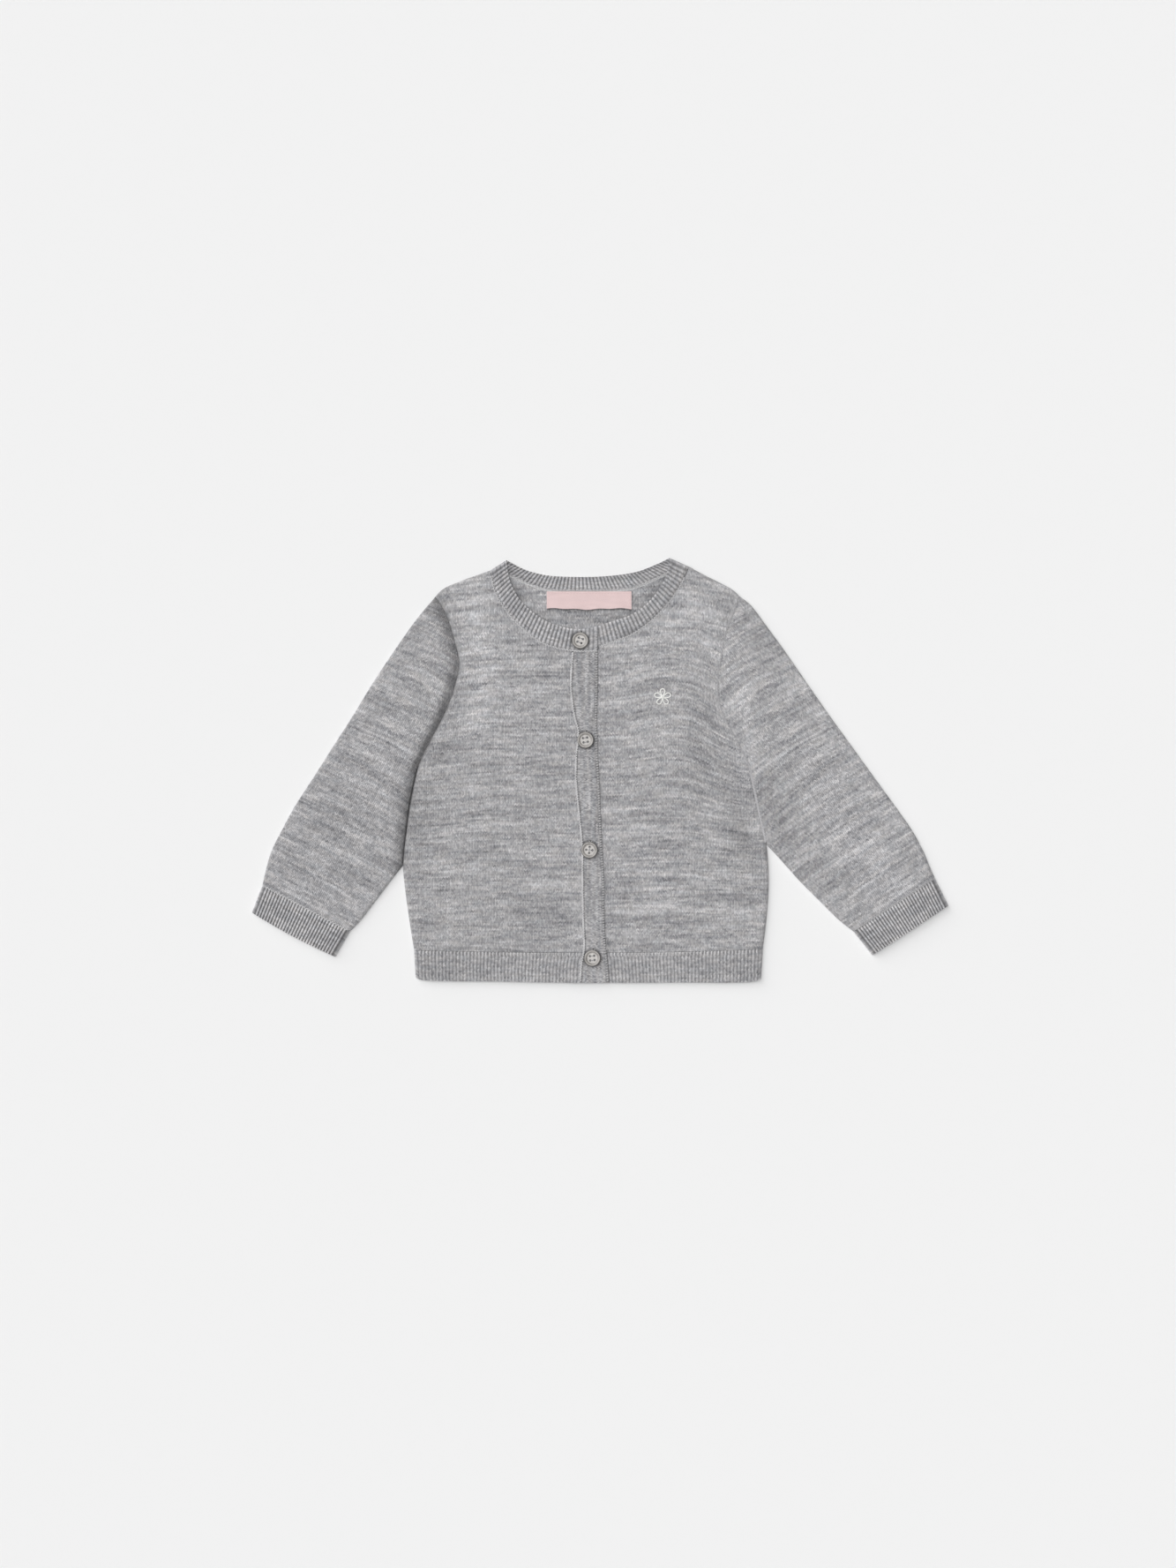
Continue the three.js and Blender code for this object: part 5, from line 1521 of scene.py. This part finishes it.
def disc_painted_shading(points, holes):
    """A button's painted light and shade: painted shade on the outer rim, in a thin ring inside the raised one
    and in the holes, and painted light on the dish.
    """
    away = np.hypot(points[:, 0], points[:, 1])
    inner = away - mm("button_radius")
    tone = 1.04 - 0.62 * smooth((inner + 0.9) / 0.8) - 0.35 * bell(inner + 1.75, 0.5)
    near = distance(points[:, 0], points[:, 1], holes[:, :2])
    return np.where((near < 0.85) & (points[:, 2] < mm("button_height") - 0.8), 0.12, tone)


class CARDIGAN_OT_buttons(CardiganOperator, bpy.types.Operator):
    """Four dished buttons with a raised rim and four sewn holes"""
    bl_idname = "cardigan.buttons"
    bl_label = "Buttons"

    def build(self, context):
        finish = button_material("button_shell")
        thread = yarn_material("button_thread", shade("wool"))
        radius, height = mm("button_radius"), mm("button_height")
        base = OVER_BAND_TOP + mm("seam_gap")
        profile = [(0.4, 0), (radius - 1.1, 0), (radius - 0.45, 0.18), (radius - 0.08, 0.55), (radius, 0.95),
                   (radius - 0.08, height - 0.55), (radius - 0.35, height - 0.15), (radius - 0.75, height),
                   (radius - 1.1, height - 0.12), (radius - 1.4, height - 0.5), (radius - 1.8, height - 0.72),
                   (radius - 2.3, height - 0.78), (2.9, height - 0.78), (1.2, height - 0.74),
                   (0.4, height - 0.74)]
        drill = [(0.2, -1), (0.68, -1), (0.68, height - 1.05), (0.72, height - 0.9), (0.88, height - 0.66),
                 (0.88, height + 1), (0.2, height + 1)]
        for number, (x, y, turned) in enumerate(BUTTONS, 1):
            place = np.array([x, y, base])
            points, faces = lathe(profile, 64)
            disc = mesh_object(f"button_disc_{number}", (points + place, faces), sharp=40)
            spread = math.radians(45 + turned) + np.arange(4) * FLAT
            holes = np.stack([2.12 * np.cos(spread), 2.12 * np.sin(spread), np.zeros(4)], axis=1)
            points, faces = lathe(drill, 16)
            cut_out(disc, [(points + place + hole, faces) for hole in holes],
                    lambda cut: disc_painted_shading(cut - place, holes))
            disc.data.polygons.foreach_set("use_smooth", np.ones(len(disc.data.polygons), bool))
            disc.data.set_sharp_from_angle(angle=math.radians(40))
            dress(disc, finish, "button", f"button_{number}")
            pairs = [(0, 1), (3, 2)] if number != 3 else [(0, 2), (1, 3)]
            strands = []
            for first, second in pairs:
                for side in (-0.15, 0.15):
                    over = np.linspace(0, 1, 14)
                    flat = mix(holes[first], holes[second], mix(0.1, 0.9, over)[:, None])
                    across = np.cross(holes[second] - holes[first], (0, 0, 1))
                    flat = flat + across / np.linalg.norm(across) * side
                    flat[:, 2] = height - 1.5 + 0.9 * np.minimum(1, np.sin(np.pi * over) * 2.2)
                    strands.append(rod(flat + place, 0.13))
            sewn = mesh_object(f"button_stitches_{number}", together(strands))
            dress(sewn, thread, "button")


class CARDIGAN_OT_label(CardiganOperator, bpy.types.Operator):
    """The plain satin label inside the back neck, sewn along its top and its ends"""
    bl_idname = "cardigan.label"
    bl_label = "Label"

    def build(self, context):
        s, t = np.broadcast_arrays(np.linspace(0, 1, 90)[:, None], np.linspace(0, 1, 18)[None, :])
        x = mix(LABEL["left"], LABEL["right"], s)
        bent = (0.35 * np.sin(9.0 * s + 0.6) + 0.25 * np.sin(23 * s)) * t
        y = mix(LABEL["top"], LABEL["bottom"], t) + bent
        under = np.stack([x, y, self.height(s, t)], axis=-1)
        points, faces = closed_wall(under + (0, 0, LABEL["thickness"]), under)
        stitches = np.stack([points[:, 0] / 0.5, points[:, 1] / 0.28], axis=1)
        ribbon = mesh_object("label_satin", (points, faces), stitches)
        dress(ribbon, satin_material("label_satin"), "label", "label")
        inset = 1.2
        left, right, top = LABEL["left"] + inset, LABEL["right"] - inset, LABEL["top"] - inset
        rows = [self.sewn((left, top), (right, top))]
        rows += [self.sewn((x, top), (x, LABEL["bottom"] + inset)) for x in (left, right)]
        sewing = mesh_object("label_sewing", together(rows))
        dress(sewing, yarn_material("label_thread", shade("label")), "label")

    def height(self, s, t):
        """The underside's height: it lies on the back along its top, and its free edge rises in waves."""
        rise = LABEL["wave"] * t**1.5 * (1.2 - np.cos(11.0 * s + 0.9) - 0.4 * np.cos(27 * s)) * (0.6 + 0.5 * s)
        return mm("wall") + 0.3 + np.maximum(rise, 0)

    def sewn(self, start, end):
        """A straight row of running stitches, which dips into the satin at each one."""
        along = np.linspace(0, 1, 160)
        flat = straight(start, end)(along)
        s = (flat[:, 0] - LABEL["left"]) / (LABEL["right"] - LABEL["left"])
        t = (LABEL["top"] - flat[:, 1]) / (LABEL["top"] - LABEL["bottom"])
        dip = 0.16 * np.cos(2 * np.pi * along * round(math.dist(start, end) / 2.2))
        return rod(raised(flat, self.height(s, t) + LABEL["thickness"] + dip - 0.02), 0.14)


class CARDIGAN_OT_stage(CardiganOperator, bpy.types.Operator):
    """Pale floor, soft light from the upper left and the camera straight above"""
    bl_idname = "cardigan.stage"
    bl_label = "Stage"

    def build(self, context):
        scene = context.scene
        corner = np.array([(-1, -1, 0), (1, -1, 0), (1, 1, 0), (-1, 1, 0)]) * FLOOR_REACH - (0, 0, 0.05)
        floor = mesh_object("floor", (corner, np.array([[0, 1, 2, 3]])))
        floor.data.materials.append(plain_material("floor_paper", shade("floor")))
        world = bpy.data.worlds.new("studio")
        world.use_nodes = True
        sky = world.node_tree.nodes["Background"]
        sky.inputs["Color"].default_value = (1, 1, 1, 1)
        sky.inputs["Strength"].default_value = SKY
        scene.world = world
        for name, (energy, angle, lean) in LAMPS.items():
            light = bpy.data.lights.new(name, "SUN")
            light.energy, light.angle = energy, math.radians(angle)
            lamp = bpy.data.objects.new(name, light)
            lamp.rotation_euler = (math.radians(lean[0]), math.radians(lean[1]), 0)
            scene.collection.objects.link(lamp)
        view = bpy.data.cameras.new("camera")
        view.sensor_width, view.lens = SENSOR, LENS
        view.clip_end = 50
        eye = bpy.data.objects.new("camera", view)
        eye.location = EYE
        scene.collection.objects.link(eye)
        scene.camera = eye
        scene.view_settings.view_transform = "Standard"


class CARDIGAN_PT_panel(bpy.types.Panel):
    bl_label = "Baby cardigan"
    bl_idname = "CARDIGAN_PT_panel"
    bl_space_type = "VIEW_3D"
    bl_region_type = "UI"
    bl_category = "Cardigan"

    def draw(self, context):
        for operator in OPERATORS:
            self.layout.operator(operator.bl_idname)
        for settings in (context.scene.cardigan_sizes, context.scene.cardigan_colours):
            for name in settings.__annotations__:
                self.layout.prop(settings, name)


OPERATORS = (
    CARDIGAN_OT_back, CARDIGAN_OT_fronts, CARDIGAN_OT_sleeves, CARDIGAN_OT_cuffs, CARDIGAN_OT_hem,
    CARDIGAN_OT_neckband, CARDIGAN_OT_bands, CARDIGAN_OT_buttons, CARDIGAN_OT_label, CARDIGAN_OT_stage)
CLASSES = (CardiganSizes, CardiganColours, *OPERATORS, CARDIGAN_PT_panel)


def register():
    """Registers the classes and gives the scene its settings."""
    for item in CLASSES:
        bpy.utils.register_class(item)
    bpy.types.Scene.cardigan_sizes = bpy.props.PointerProperty(type=CardiganSizes)
    bpy.types.Scene.cardigan_colours = bpy.props.PointerProperty(type=CardiganColours)


def unregister():
    """Takes back what register did."""
    del bpy.types.Scene.cardigan_colours
    del bpy.types.Scene.cardigan_sizes
    for item in reversed(CLASSES):
        bpy.utils.unregister_class(item)


def main():
    """Registers the classes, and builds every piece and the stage."""
    register()
    for operator in OPERATORS:
        group, name = operator.bl_idname.split(".")
        getattr(getattr(bpy.ops, group), name)()


if __name__ == "__main__":
    main()
